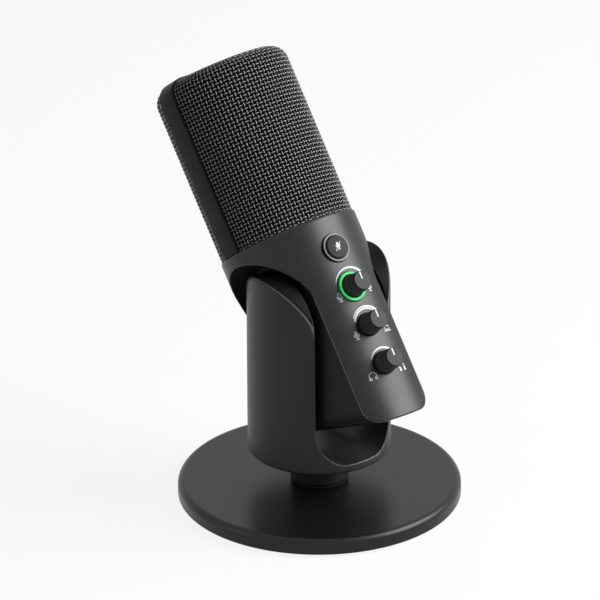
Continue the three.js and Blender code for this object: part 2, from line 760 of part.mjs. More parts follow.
// A pillar inside the front or back wall that takes a screw of the bottom cap.
function capPillar(depth) {
  const foot = bottomAt(depth) + capThickness + SEAT;
  const slant = PILLAR_RADIUS * bottomSlope;
  const pillar = turned(disc(PILLAR_RADIUS, foot + slant, foot + pillarHeight), SMALL);
  const hole = turned(
    disc(CAP_SCREW_RADIUS + SHAFT_PLAY, foot - past, foot + CAP_SCREW_REACH + SEAT),
    SMALL,
  );
  return pillar.subtract(hole).translate([0, depth, 0]);
}

const capSinkTop = (depth) => bottomAt(depth) + CAP_SCREW_HEAD + 2 * SEAT;

function bottomCap() {
  const low = bodyBottomFront - past;
  const wide = BODY_RADIUS + past;
  const slab = [
    [-wide, low],
    [wide, low],
    [wide, bodyBottomFront + capThickness],
    [-wide, bodyBottomFront + capThickness],
  ];
  let made = housingBlank()
    .intersect(cavity(SEAT, low, 0))
    .intersect(prism(slab, -BODY_RADIUS, BODY_RADIUS, bottomSlope));
  for (const depth of [-pillarDepth, pillarDepth]) {
    const hole = turned(
      [
        [0, low],
        [CAP_SCREW_HEAD_RADIUS + SEAT, low],
        [CAP_SCREW_HEAD_RADIUS + SEAT, capSinkTop(depth)],
        [CAP_SCREW_RADIUS + SHAFT_PLAY, capSinkTop(depth)],
        [CAP_SCREW_RADIUS + SHAFT_PLAY, 0],
        [0, 0],
      ],
      SMALL,
    );
    made = made.subtract(hole.translate([0, depth, 0]));
  }
  return piece("bottom_cap", made, ...blackPlastic);
}

function capScrew(depth, name) {
  const seat = capSinkTop(depth) - SEAT;
  const tip = bottomAt(depth) + capThickness + SEAT + CAP_SCREW_REACH;
  const outline = [
    [0, seat - CAP_SCREW_HEAD],
    [CAP_SCREW_HEAD_RADIUS, seat - CAP_SCREW_HEAD],
    [CAP_SCREW_HEAD_RADIUS, seat],
    [CAP_SCREW_RADIUS, seat],
    [CAP_SCREW_RADIUS, tip],
    [0, tip],
  ];
  return piece(`cap_screw_${name}`, turned(outline, SMALL).translate([0, depth, 0]), ...steel);
}

// Chassis: a bent sheet with two sides, a back and a top that ties the hinge pins together
function chassis() {
  const half = chassisHalfWidth;
  const inner = half - CHASSIS_SHEET;
  const front = mainBoardBack - BOARD_STANDOFF;
  const rear = portBoardInside - PORT_STANDOFF;
  const outside = block([-half, -front, -CHASSIS_BELOW], [half, rear, CHASSIS_ABOVE]);
  const inside = block(
    [-inner, -front - past, -CHASSIS_BELOW - past],
    [inner, rear - CHASSIS_SHEET, CHASSIS_ABOVE - CHASSIS_SHEET],
  );
  let made = outside.subtract(inside);
  for (const side of [-1, 1]) {
    made = made.subtract(turnedAlongX(side, disc(PIN_RADIUS + SHAFT_PLAY, 0, half + past), SMALL));
  }
  return piece("chassis", made, ...steel);
}

// Boards, potentiometers and the switch behind the panel
function mainBoard() {
  const low = knobHeights[2] - MAIN_BOARD_BELOW;
  const high = muteHeight + MAIN_BOARD_ABOVE;
  const half = innerHalfWidth - MAIN_BOARD_MARGIN;
  const made = block([-half, -mainBoardFront, low], [half, -mainBoardBack, high]);
  return piece("main_board", made, ...boardGreen);
}

function potentiometer(height, name) {
  const half = POT_WIDTH / 2;
  const body = block(
    [-half, -potFront, height - half],
    [half, -mainBoardFront - SEAT, height + half],
  );
  const boreFloor = potFront - SHAFT_SINK - SEAT;
  const bore = turnedAlongY(
    -1,
    height,
    disc(SHAFT_RADIUS + SHAFT_PLAY, boreFloor, potFront + past),
    SMALL,
  );
  return piece(`potentiometer_${name}`, body.subtract(bore), ...steel);
}

function muteSwitch() {
  const half = SWITCH_WIDTH / 2;
  const back = mainBoardFront + SEAT;
  const front = back + SWITCH_BODY;
  const tip = muteFlangeFront - MUTE_FLANGE - MUTE_TRAVEL - SEAT;
  const body = block([-half, -front, muteHeight - half], [half, -back, muteHeight + half]);
  const plunger = turnedAlongY(
    -1,
    muteHeight,
    disc(SWITCH_PLUNGER_RADIUS, front - past, tip),
    SMALL,
  );
  return piece("mute_switch", body.add(plunger), ...blackPlastic);
}

function portBoard() {
  const half = innerHalfWidth - PORT_BOARD_MARGIN;
  const made = block(
    [-half, portBoardInside, usbHeight - PORT_BOARD_BELOW],
    [half, portBoardOutside, jackHeight + PORT_BOARD_ABOVE],
  );
  return piece("port_board", made, ...boardGreen);
}

function usbSocket() {
  const shell = prism(stadium(USB_WIDTH, USB_OPENING_HEIGHT, usbHeight), socketBack, socketFront);
  const inner = stadium(
    USB_WIDTH - 2 * USB_SHEET,
    USB_OPENING_HEIGHT - 2 * USB_SHEET,
    usbHeight,
  );
  const floor = socketFront - USB_DEPTH;
  const opening = prism(inner, floor, socketFront + past);
  const tongue = block(
    [-USB_TONGUE_WIDTH / 2, floor - past, usbHeight - USB_TONGUE / 2],
    [USB_TONGUE_WIDTH / 2, socketFront - USB_TONGUE_INSET, usbHeight + USB_TONGUE / 2],
  );
  return piece("usb_c_socket", shell.subtract(opening).add(tongue), ...steel);
}

function headphoneJack() {
  const half = JACK_BODY_WIDTH / 2;
  const body = block(
    [-half, socketBack, jackHeight - half],
    [half, jackBodyFront, jackHeight + half],
  );
  const barrel = turnedAlongY(
    1,
    jackHeight,
    disc(JACK_BARREL_RADIUS, jackBodyFront - past, socketFront),
    SMALL,
  );
  const bore = turnedAlongY(
    1,
    jackHeight,
    disc(JACK_BORE_RADIUS, socketFront - JACK_BORE_DEPTH, socketFront + past),
    SMALL,
  );
  return piece("headphone_jack", body.add(barrel).subtract(bore), ...blackPlastic);
}

// Light ring round the top knob and the ring round the mute button: a flat face with a bevelled edge
// stands before the panel, and the back follows the panel's curve
function panelRing(name, height, outer, inner, finish) {
  const face = BODY_RADIUS + RING_PROUD;
  const outline = [
    [inner, 0],
    [outer, 0],
    [outer, face - RING_BEVEL],
    [outer - RING_BEVEL, face],
    [inner, face],
  ];
  const behind = turned(disc(BODY_RADIUS - RING_DEPTH, -face, face), WIDE);
  return piece(name, turnedAlongY(-1, height, outline).subtract(behind), ...finish);
}

// Mute button: a domed cap with a flange behind the panel
function muteButton() {
  const face = BODY_RADIUS + MUTE_PROUD;
  const rim = MUTE_DOME;
  const outline = [
    [0, muteFlangeFront - MUTE_FLANGE],
    [muteFlangeRadius, muteFlangeFront - MUTE_FLANGE],
    [muteFlangeRadius, muteFlangeFront],
    [MUTE_RADIUS, muteFlangeFront],
    ...arc(MUTE_RADIUS - rim, face - rim, rim, 0, 60, 3),
    [MUTE_RADIUS / 2, face + MUTE_DOME / 2],
    [0, face + MUTE_DOME],
  ];
  return piece("mute_button", turnedAlongY(-1, muteHeight, outline), ...knobPlastic);
}

// Knob: a ribbed, slightly tapered cap on its shaft, with a pointer groove towards 12 o'clock
function knobSolid() {
  const shoulder = KNOB_BASE_RADIUS - KNOB_TAPER;
  const rings = [
    [KNOB_BASE_RADIUS, 0],
    [shoulder, KNOB_LENGTH - KNOB_CHAMFER],
    [shoulder - KNOB_CHAMFER, KNOB_LENGTH],
  ];
  const around = 2 * KNOB_RIBS;
  const positions = [];
  rings.forEach(([radius, height], row) => {
    for (let i = 0; i < around; i++) {
      const cut = i % 2 && row < 2 ? KNOB_RIB_DEPTH : 0;
      const angle = (2 * Math.PI * i) / around;
      positions.push((radius - cut) * Math.cos(angle), (radius - cut) * Math.sin(angle), height);
    }
  });
  const bottom = positions.length / 3;
  const top = bottom + 1;
  positions.push(0, 0, 0, 0, 0, KNOB_LENGTH);
  const index = [];
  for (let i = 0; i < around; i++) {
    const next = (i + 1) % around;
    index.push(bottom, next, i);
    for (let row = 0; row + 1 < rings.length; row++) {
      const [a, b] = [row * around + i, row * around + next];
      index.push(a, b, b + around, a, b + around, a + around);
    }
    const last = (rings.length - 1) * around;
    index.push(top, last + i, last + next);
  }
  const geometry = new THREE.BufferGeometry();
  geometry.setAttribute("position", new THREE.Float32BufferAttribute(positions, 3));
  geometry.setIndex(index);
  const bore = turned(disc(SHAFT_RADIUS + SHAFT_PLAY, -past, KNOB_LENGTH - KNOB_SKIN), SMALL);
  const pointer = block(
    [-KNOB_POINTER_WIDTH / 2, 0, KNOB_LENGTH - KNOB_POINTER_DEPTH],
    [KNOB_POINTER_WIDTH / 2, KNOB_BASE_RADIUS, KNOB_LENGTH + past],
  );
  return solidOf(geometry).subtract(bore).subtract(pointer);
}

// A knob and its shaft stand on the panel at a height, facing the front.
function knobGroup(height, name) {
  const group = new THREE.Group();
  group.position.set(0, -knobBase, height);
  group.rotation.x = quarter;
  const shaft = turned(disc(SHAFT_RADIUS, potFront - SHAFT_SINK - knobBase, shaftEnd - knobBase), SMALL);
  group.add(
    piece(`knob_${name}`, knobSolid(), ...knobPlastic),
    piece(`shaft_${name}`, shaft, ...steel),
  );
  return group;
}

// Grille: a frame of one band over the sides and top, woven wire in front and behind, foam inside
function grilleFrame() {
  const radius = bandRadius;
  const top = bandTop;
  const fillet = bandFillet;
  const outer = turned(bell(radius, grilleBottom, top, fillet), WIDE);
  const inner = turned(
    bell(
      radius - BAND_THICKNESS,
      grilleBottom - past,
      top - BAND_THICKNESS,
      fillet - BAND_THICKNESS,
    ),
    WIDE,
  );
  const slice = block([-radius, -BAND_HALF_WIDTH, 0], [radius, BAND_HALF_WIDTH, top]);
  const ring = turned(
    tube(frameRingRadius, frameRingInner, headPlateBottom, frameRingTop),
    WIDE,
  );
  return piece("grille_frame", outer.subtract(inner).intersect(slice).add(ring), ...blackPaint);
}

// A turned shape of the weave, with its corners on the uprights.
const woven = (outline) =>
  solidOf(turnedGeometry(outline, weaveSpans).rotateZ(Math.PI / weaveSpans));

// The wires that stand out: uprights round the side and over the shoulder, hoops, a rim round the
// flat top and wires both ways on it
function mainWires() {
  const half = MAIN_WIRE_WIDTH / 2;
  const reach = grilleRadius + past;
  const high = grilleTop + past;
  const flatRadius = grilleRadius - GRILLE_FILLET;
  const flatBottom = grilleTop - GRILLE_SHEET;
  const wires = [woven(tube(flatRadius + half, flatRadius - half, flatBottom, high))];
  for (let i = 0; i < weaveSpans; i++) {
    const upright = new THREE.BoxGeometry(MAIN_WIRE_WIDTH, reach - flatRadius, high - grilleBottom);
    upright.translate(0, -(reach + flatRadius) / 2, (high + grilleBottom) / 2);
    wires.push(solidOf(upright.rotateZ((2 * Math.PI * (i + 0.5)) / weaveSpans)));
  }
  const straight = grilleTop - GRILLE_FILLET - grilleBottom;
  const hoops = Math.round(straight / MAIN_WIRE_PITCH);
  for (let i = 1; i <= hoops; i++) {
    const height = grilleBottom + (straight * i) / hoops;
    wires.push(woven(tube(grilleRadius - HOOP_INSET, flatRadius, height - half, height + half)));
  }
  const rimRadius = flatRadius * Math.cos(Math.PI / weaveSpans);
  for (let place = MAIN_WIRE_PITCH / 2; place < rimRadius - half; place += MAIN_WIRE_PITCH) {
    const length = Math.sqrt(rimRadius ** 2 - place ** 2);
    for (const middle of [-place, place]) {
      const [from, to] = [middle - half, middle + half];
      wires.push(block([from, -length, flatBottom], [to, length, high]));
      wires.push(block([-length, from, flatBottom], [length, to, high]));
    }
  }
  return wires;
}

function grilleHalf(side, name) {
  const outer = turned(bell(grilleRadius, grilleBottom, grilleTop, GRILLE_FILLET), WIDE);
  const weave = woven(
    bell(
      grilleRadius - MAIN_WIRE_RELIEF,
      grilleBottom,
      grilleTop - MAIN_WIRE_RELIEF,
      GRILLE_FILLET - MAIN_WIRE_RELIEF,
    ),
  );
  const inner = turned(
    bell(
      grilleRadius - GRILLE_SHEET,
      grilleBottom - past,
      grilleTop - GRILLE_SHEET,
      GRILLE_FILLET - GRILLE_SHEET,
    ),
    WIDE,
  );
  const near = side * (BAND_HALF_WIDTH + SEAT);
  const far = side * (grilleRadius + past);
  const half = block(
    [-grilleRadius - past, Math.min(near, far), 0],
    [grilleRadius + past, Math.max(near, far), grilleTop + past],
  );
  const sheet = mainWires().reduce((made, wire) => made.add(wire), weave);
  return piece(`grille_${name}`, sheet.intersect(outer).subtract(inner).intersect(half), ...wire);
}

function foamLiner() {
  const radius = bandRadius - BAND_THICKNESS - SEAT;
  const top = bandTop - BAND_THICKNESS - SEAT;
  const fillet = bandFillet - BAND_THICKNESS - SEAT;
  const bottom = frameRingTop + SEAT;
  const outer = turned(bell(radius, bottom, top, fillet));
  const inner = turned(
    bell(radius - FOAM_THICKNESS, bottom - past, top - FOAM_THICKNESS, fillet - FOAM_THICKNESS),
  );
  return piece("foam_liner", outer.subtract(inner), ...foam);
}

// Plate that closes the housing under the grille, with its two screws
function headPlate() {
  let made = turned(disc(frameRingInner - SEAT, headPlateBottom, headPlateTop));
  for (const side of [-1, 1]) {
    const hole = turned(
      disc(HEAD_SCREW_RADIUS + SHAFT_PLAY, headPlateBottom - past, headPlateTop + past),
      SMALL,
    );
    made = made.subtract(hole.translate([side * headScrewOffset, 0, 0]));
  }
  return piece("head_plate", made, ...steel);
}

function headScrew(side, name) {
  const seat = headPlateTop + SEAT;
  const outline = [
    [0, headPlateTop - HEAD_SCREW_REACH],
    [HEAD_SCREW_RADIUS, headPlateTop - HEAD_SCREW_REACH],
    [HEAD_SCREW_RADIUS, seat],
    [HEAD_SCREW_HEAD_RADIUS, seat],
    [HEAD_SCREW_HEAD_RADIUS, seat + HEAD_SCREW_HEAD],
    [0, seat + HEAD_SCREW_HEAD],
  ];
  const made = turned(outline, SMALL).translate([side * headScrewOffset, 0, 0]);
  return piece(`head_screw_${name}`, made, ...steel);
}

// Capsule facing the front in a cradle on a stalk
function capsule() {
  const half = CAPSULE_THICKNESS / 2;
  const made = turnedAlongY(-1, capsuleHeight, disc(CAPSULE_RADIUS, -half, half));
  return piece("capsule", made, ...gold);
}

function capsuleCradle() {
  const half = CRADLE_WIDTH / 2;
  const inner = CAPSULE_RADIUS + SEAT;
  const outer = inner + CRADLE_WALL;
  const ring = turnedAlongY(-1, capsuleHeight, tube(outer, inner, -half, half));
  const stalk = block(
    [-STALK_WIDTH / 2, -half, headPlateTop + SEAT],
    [STALK_WIDTH / 2, half, capsuleHeight - inner - CRADLE_WALL / 2],
  );
  return piece("capsule_cradle", ring.add(stalk), ...rubber);
}

// The pieces that stand still
const stand = new THREE.Group();
stand.add(basePlate(), footPad(), baseScrew(), standStud(), neckWasher(), threadInsert(), yoke());

// The hinge pieces on the yoke, placed about the tilt axis
const hinge = new THREE.Group();
hinge.position.z = pivotHeight;
const sides = [
  [-1, "left"],
  [1, "right"],
];
for (const [side, name] of sides) {
  hinge.add(
    hingePlate(side, name),
    hingeScrew(side, -hingeScrewOffset, `${name}_lower`),
    hingeScrew(side, hingeScrewOffset, `${name}_upper`),
    frictionWasher(side, name),
  );
}
stand.add(hinge);

// The tilting head
const head = new THREE.Group();
head.position.z = pivotHeight;
head.rotation.x = -REST_TILT;
for (const [side, name] of sides) {
  head.add(hingePin(side, name), springWasher(side, name), hingeNut(side, name));
  head.add(headScrew(side, name));
}
head.add(
  bodyHousing(),
  bottomCap(),
  capScrew(-pillarDepth, "front"),
  capScrew(pillarDepth, "rear"),
  chassis(),
  mainBoard(),
  muteSwitch(),
  portBoard(),
  usbSocket(),
  headphoneJack(),
  panelRing("light_ring", TOP_KNOB_HEIGHT, lightRingOuter, lightRingInner, greenLight),
  panelRing("mute_ring", muteHeight, muteRingOuter, muteRingInner, clearGrey),
  muteButton(),
  grilleFrame(),
  grilleHalf(-1, "front"),
  grilleHalf(1, "rear"),
  foamLiner(),
  headPlate(),
  capsule(),
  capsuleCradle(),
);
["top", "middle", "bottom"].forEach((name, row) => {
  head.add(potentiometer(knobHeights[row], name), knobGroup(knobHeights[row], name));
});

const microphone = new THREE.Group();
microphone.add(stand, head);

export default microphone;
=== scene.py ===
# Looks of a desktop microphone: woven grille, control panel, tilting head, yoke and round base.
# Lengths below are millimetres. Head shapes are drawn upright about the tilt axis, the front is -Y.
import json
import math

import bmesh
import bpy
import numpy as np
from mathutils import Matrix, Vector


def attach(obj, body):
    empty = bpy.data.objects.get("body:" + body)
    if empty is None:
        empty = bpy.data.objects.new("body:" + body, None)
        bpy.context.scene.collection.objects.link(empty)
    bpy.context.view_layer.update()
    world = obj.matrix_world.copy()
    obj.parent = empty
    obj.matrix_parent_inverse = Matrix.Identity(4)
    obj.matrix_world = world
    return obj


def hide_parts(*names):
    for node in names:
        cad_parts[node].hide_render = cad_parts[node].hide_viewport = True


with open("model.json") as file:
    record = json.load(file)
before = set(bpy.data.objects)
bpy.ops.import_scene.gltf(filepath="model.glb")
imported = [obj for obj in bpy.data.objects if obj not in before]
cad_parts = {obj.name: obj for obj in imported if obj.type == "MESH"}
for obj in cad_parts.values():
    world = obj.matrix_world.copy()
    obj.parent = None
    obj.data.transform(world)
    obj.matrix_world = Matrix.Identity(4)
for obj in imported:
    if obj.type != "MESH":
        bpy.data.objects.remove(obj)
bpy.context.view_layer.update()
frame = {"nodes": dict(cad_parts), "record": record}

MM = 0.001
TINY = 1e-9
ON_AXIS = 1e-6
REST_TILT = math.radians(38.1)

# Stand
BASE_RADIUS = 67.5
BASE_BOTTOM = 1.0
BASE_TOP = 9.0
BASE_SHOULDER = 3.2
BASE_EDGE = 0.9
FOOT_RADIUS = 62.5
FOOT_TOP = 2.0
FOOT_GAP = 0.3
FOOT_GROOVES = (18.0, 32.0, 46.0, 57.0)
# A groove's corners: distance across, height and rounding
GROOVE_PROFILE = ((-1.0, 0, 0.2), (-0.8, 0.5, 0.1), (0.8, 0.5, 0.1), (1.0, 0, 0.2))
NECK_RADIUS = 14.0
NECK_BORE_RADIUS = 10.6
NECK_BOTTOM = 10.2
NECK_EDGE = 1.2
NECK_OVERLAP = 1.0
YOKE_RADIUS = 34.1
YOKE_BOTTOM = 26.0
YOKE_EDGE = 1.6
SLOT_HALF_WIDTH = 22.0
SLOT_FLOOR = 30.4
SLOT_CORNER_WIDTH = 14.0
SLOT_CORNER_HEIGHT = 18.0
SLOT_CORNER_CORE = 0.05
SLOT_EDGE = 0.75
ARCH_RADIUS = math.sqrt(YOKE_RADIUS**2 - SLOT_HALF_WIDTH**2)
ARCH_EDGE = 1.7
ARCH_SPREAD = 0.25
PIVOT_HEIGHT = 96.4
PLATE_SEAT_RADIUS = 12.8
PLATE_SEAT_DEPTH = 24.3
NUT_POCKET_RADIUS = 7.2
NUT_POCKET_DEPTH = 29.6

# Housing, heights from the tilt axis
BODY_RADIUS = 34.1
BODY_HALF_WIDTH = 18.7
BODY_CORNER = 8.0
BODY_BOTTOM = -64.0
BODY_SLOPE = 0.21994
BODY_EDGE = 0.75
CORNER_END = -10.0
CORNER_RELEASE = 2.0
COLLAR_TOP = 38.1
COLLAR_SEAT = 34.9
COLLAR_SEAT_RADIUS = 32.3
POCKET_RADIUS = math.sqrt(BODY_RADIUS**2 - BODY_HALF_WIDTH**2)
POCKET_FLARE = 3.7
POCKET_END = -20.0
POCKET_RELEASE = 3.0
CAP_SEAT_HALF_WIDTH = 16.3
CAP_SEAT_RADIUS = 30.5
CAP_SEAT_DEPTH = 3.3
COLLAR_CUT_TOP = 40.0
FACE_CUT_END = 36.0
REAR_CUT_START = 20.0
CAP_CUT_REACH = 10.0

# Controls, depths from the housing's axis
KNOB_HEIGHTS = (2.1, -17.5, -37.1)
KNOB_NAMES = ("top", "middle", "bottom")
KNOB_TOP = 44.9
KNOB_RADIUS = 4.75
KNOB_RIBS = 32
KNOB_RIB_DEPTH = 0.5
KNOB_ROUNDING = 0.4
KNOB_ROUNDING_STEPS = 5
KNOB_RIM_FLAT = 0.1
RIB_POINTS = 8
RIB_SWING = 0.8
RIB_FADE_STEPS = 3
POINTER_START = 0.75
POINTER_WIDTH = 0.65
POINTER_SUNK = 0.1
POINTER_PROUD = 0.04
RING_BACK = 32.0
RING_EDGE = 0.08
LIGHT_RING = (5.9, 7.4)
LIGHT_RING_FACE = 35.05
LIGHT_RING_BEVEL = (0.25, 0.3)
LIGHT_GROOVE = (LIGHT_RING[0] - 0.2, LIGHT_RING[1] + 0.25)
LIGHT_GROOVE_FLOOR = 31.0
MUTE_HEIGHT = 22.0
MUTE_RADIUS = 5.8
MUTE_BACK = 29.5
MUTE_FACE = 36.3
MUTE_DOME = 0.5
MUTE_DOME_ROUNDING = 1.0
MUTE_EDGE = 0.55
MUTE_RING = (5.92, 7.0)
MUTE_RING_FACE = 35.2
MUTE_RING_BEVEL = (0.05, 0.1)
MUTE_BORE = 7.35
MUTE_BORE_FLOOR = 28.0
JACK_HEIGHT = -8.0
JACK_HOLE_RADIUS = 3.7
USB_HEIGHT = -22.0
USB_HOLE = (9.8, 4.0)
FACE_DEPTH = 0.1

# The plain skirt of a knob: radius, depth and the share of the ribs' full depth there
KNOB_SKIRT = (
    (5.55, 34.6, 0.0),
    (5.75, 34.75, 0.0),
    (5.75, 35.3, 0.0),
    (5.66, 35.45, 0.0),
    (5.4, 35.8, 0.6),
    (5.27, 36.3, 1.0),
)

# Printed marks
MARK_SIZE = 1.15
BUTTON_MARK_SIZE = 0.95
BUTTON_STROKE_REACH = 1.95
MARK_PROUD = 0.05
MARK_SUNK = 0.12
BAR_POINTS = 5
PILL_TIP = 0.02

# Scale arcs: the knob's place in KNOB_HEIGHTS, clock angles, radii, widths and the winding's bend
SCALE_ARCS = (
    (0, (-64, 72), (8.0, 10.6), (0.25, 1.35), 1.0),
    (1, (-50, 72), (7.7, 10.4), (0.3, 1.25), 1.0),
    (1, (-60, 60), (6.55, 9.0), (1.15, 0.4), 1.0),
    (2, (-57, 72), (6.6, 9.2), (0.25, 1.35), 1.6),
)

# Grille, heights from the tilt axis
GRILLE_BOTTOM = 38.4
GRILLE_TOP = 125.4
GRILLE_RADIUS = 33.5
GRILLE_FILLET = 8.0
WIRE_HALF_WIDTH = 0.29
WIRE_HALF_THICKNESS = 0.2
WIRE_WAVE = 0.36
WIRE_PITCH = 2.03
WIRE_SIDES = 5
WIRE_SAMPLES = 4
WIRE_LEAD = 0.05
HEM_RADIUS = 0.45
HEM_SIDES = 8
HEM_POINTS = 90
BAND_HALF_WIDTH = 6.3
BAND_RADIUS = 34.2
BAND_TOP = 126.1
BAND_FILLET = 8.7
BAND_THICKNESS = 2.4
BAND_FRONT_EDGE = 0.55
BAND_REAR_EDGE = 0.2
BAND_LAP = 0.1
BAND_SIDE_POINTS = 12
BAND_BEND_LEAD = 0.3
BAND_BEND_STEPS = 16
BAND_TOP_SHARES = (0.97, 0.75, 0.5, 0.25)
RING_OUTER = 32.0
RING_INNER = 29.6
RING_BOTTOM = 35.2
RING_TOP = 41.0
FOAM_RADIUS = 31.5
FOAM_BOTTOM = 41.3
FOAM_TOP = 123.4
FOAM_FILLET = 6.0
FOAM_THICKNESS = 3.0
FOAM_EDGE = 0.3

# Middle surface of the woven wire
WEAVE_DEPTH = WIRE_HALF_THICKNESS + WIRE_WAVE
WEAVE_RADIUS = GRILLE_RADIUS - WEAVE_DEPTH
WEAVE_FILLET = GRILLE_FILLET - WEAVE_DEPTH
WEAVE_BEND = GRILLE_TOP - GRILLE_FILLET
WEAVE_MIDDLE = GRILLE_RADIUS - GRILLE_FILLET
WEAVE_ARC = WEAVE_FILLET * math.pi / 2
WEAVE_TOP = GRILLE_TOP - WEAVE_DEPTH

# Carving: the grid's cell and margins, and limits for its points and normals
CELL = 0.62
SIDE_MARGIN = 1.3
END_MARGIN = 1.1
CELL_CORNERS = [(i, j, k) for i in (0, 1) for j in (0, 1) for k in (0, 1)]
SETTLING_PASSES = 4
FLATTEST = 1e-6
SAME_WAY = 0.75
FACING = 0.9
EDGE_MIDDLE = 0.707

# Finishes
SHADER = "Principled BSDF"
WHITE = (1, 1, 1, 1)
DRIFT_SIZE = 22.0
COLOR_DRIFT = 0.12
GLOSS_DRIFT = 0.025
NOISE_DETAIL = 3.0
NOISE_SPAN = (0.3, 0.7)
EDGE_SPAN = (0.5, 1.0)
WIRE_SPAN = (0.45, 0.95)
LIT_SHARE = 0.35
# Painted highlight: the colour mixed into round edges, lighter where the relief is high
EDGE_HIGHLIGHT = (0.17, 0.17, 0.173)

# A number at each point of a mesh that a material reads: 0 in a hollow, 1 on a ridge or edge. The
# coats paint shade where it is low and a highlight where it is high.
RELIEF = "relief"

# Camera at the photograph's place: a long lens in front, to the left and above
CAMERA_AZIMUTH = math.radians(37.967)
CAMERA_ELEVATION = math.radians(25.948)
CAMERA_ROLL = math.radians(-0.345)
CAMERA_DISTANCE = 6000.0
CAMERA_LENS_PIXELS = 12683.78
CAMERA_AIM_RIGHT = -8.758
CAMERA_AIM_UP = -6.860
CAMERA_AIM_HEIGHT = 110.0
CAMERA_CLIP = (1.0, 50.0)
IMAGE_PIXELS = 600.0
SENSOR = 36.0

# Floor, room and lights, in metres
FLOOR_RADIUS = 6.0
FLOOR_LEVEL = -0.0002
FLOOR_COLOR = (0.86, 0.86, 0.86, 1)
FLOOR_GLOW = 0.88
ROOM_LIGHT = 0.08
LIGHT_AIM = (0.0, 0.0, 0.1)


# Points of a head shape, drawn upright in millimetres, in the row frame in metres.
def tilted(points):
    x, y, z = np.asarray(points, float).T
    cos, sin = math.cos(REST_TILT), math.sin(REST_TILT)
    return np.stack([x, y * cos + z * sin, PIVOT_HEIGHT + z * cos - y * sin], 1) * MM


def upright(points):
    return np.asarray(points, float) * MM


def new_object(name, data):
    made = bpy.data.objects.new(name, data)
    bpy.context.scene.collection.objects.link(made)
    return made


# A new piece from points and faces.
def piece(name, points, faces, body, finish, slot, stands_for=(), place=tilted, sharp=35.0):
    mesh = bpy.data.meshes.new(name)
    mesh.from_pydata(place(points).tolist(), [], faces)
    mesh.validate()
    mesh.shade_smooth()
    if sharp:
        mesh.set_sharp_from_angle(angle=math.radians(sharp))
    return dressed(name, mesh, body, finish, stands_for)


def dressed(name, mesh, body, finish, stands_for=()):
    made = new_object(name, mesh)
    made.data.materials.append(finish)
    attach(made, body)
    if stands_for:
        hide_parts(*stands_for)
    return made


# Several (points, faces) shapes as one.
def joined(*shapes):
    points, faces, start = [], [], 0
    for more_points, more_faces in shapes:
        points.append(np.asarray(more_points, float))
        faces.extend([tuple(i + start for i in face) for face in more_faces])
        start += len(more_points)
    return np.concatenate(points), faces


def unit(ways):
    return ways / np.maximum(np.linalg.norm(ways, axis=-1, keepdims=True), TINY)


# An outline with its corners rounded. Each corner is (r, z, rounding).
def rounded(corners, steps=6, support=0.12, closed=False):
    out = []
    count = len(corners)
    for i, (r, z, size) in enumerate(corners):
        here = np.array([r, z], float)
        if not size or (not closed and i in (0, count - 1)):
            out.append(here)
            continue
        back = unit(np.array(corners[i - 1][:2], float) - here)
        ahead = unit(np.array(corners[(i + 1) % count][:2], float) - here)
        half = math.acos(max(-1.0, min(1.0, float(back @ ahead)))) / 2
        centre = here + unit(back + ahead) * size / math.sin(half)
        reach = size / math.tan(half)
        start, end = here + back * reach, here + ahead * reach
        first, last = start - centre, end - centre
        sweep = math.pi - 2 * half
        out.append(start + back * support)
        for step in range(steps + 1):
            share = step / steps
            a = math.sin((1 - share) * sweep) / math.sin(sweep)
            b = math.sin(share * sweep) / math.sin(sweep)
            out.append(centre + a * first + b * last)
        out.append(end + ahead * support)
    return out


# A shape turned about Z from (r, z) points. An open outline starts and ends on the axis.
def turned(outline, around=96, closed=False):
    angles = np.arange(around) * 2 * math.pi / around
    cos, sin = np.cos(angles), np.sin(angles)
    poles = [r < ON_AXIS for r, _ in outline]
    points, starts = [], []
    for (r, z), pole in zip(outline, poles):
        starts.append(len(points))
        if pole:
            points.append((0.0, 0.0, z))
        else:
            points.extend(zip(r * cos, r * sin, [z] * around))
    last = len(outline) - 1
    pairs = [(k, k + 1) for k in range(last)]
    if closed:
        pairs.append((last, 0))
    faces = []
    for low, high in pairs:
        a, b = starts[low], starts[high]
        for i in range(around):
            j = (i + 1) % around
            face = [a] if poles[low] else [a + i, a + j]
            face += [b] if poles[high] else [b + j, b + i]
            if len(face) > 2:
                faces.append(face)
    return np.array(points), faces


# Faces of a tube of rings that have as many points each, with both ends closed.
def tube_faces(rings, around, start=0):
    faces = []
    for ring in range(rings - 1):
        a = start + ring * around
        b = a + around
        for i in range(around):
            j = (i + 1) % around
            faces.append((a + i, a + j, b + j, b + i))
    last = start + (rings - 1) * around
    faces.append(tuple(range(start + around - 1, start - 1, -1)))
    faces.append(tuple(range(last, last + around)))
    return faces


# The same shape with its axis along -Y at a height, as the controls face the front.
def facing_front(shape, height):
    points, faces = shape
    x, y, z = np.asarray(points, float).T
    return np.stack([x, -z, y + height], 1), faces


# Fields are below zero inside a shape. This keeps what is inside all of them, with a round edge.
def round_edge(size, *fields):
    shifted = np.stack(np.broadcast_arrays(*fields)) + size
    outside = np.sqrt((np.maximum(shifted, 0) ** 2).sum(0))
    return outside - size + np.minimum(shifted.max(0), 0)


# How far a point lies into the round edge between two of the fields, from 0 to 1 in its middle.
def edge_share(size, *fields):
    second = np.sort(np.stack([f + size for f in fields]), 0)[-2]
    return np.clip(second / (EDGE_MIDDLE * size), 0, 1)


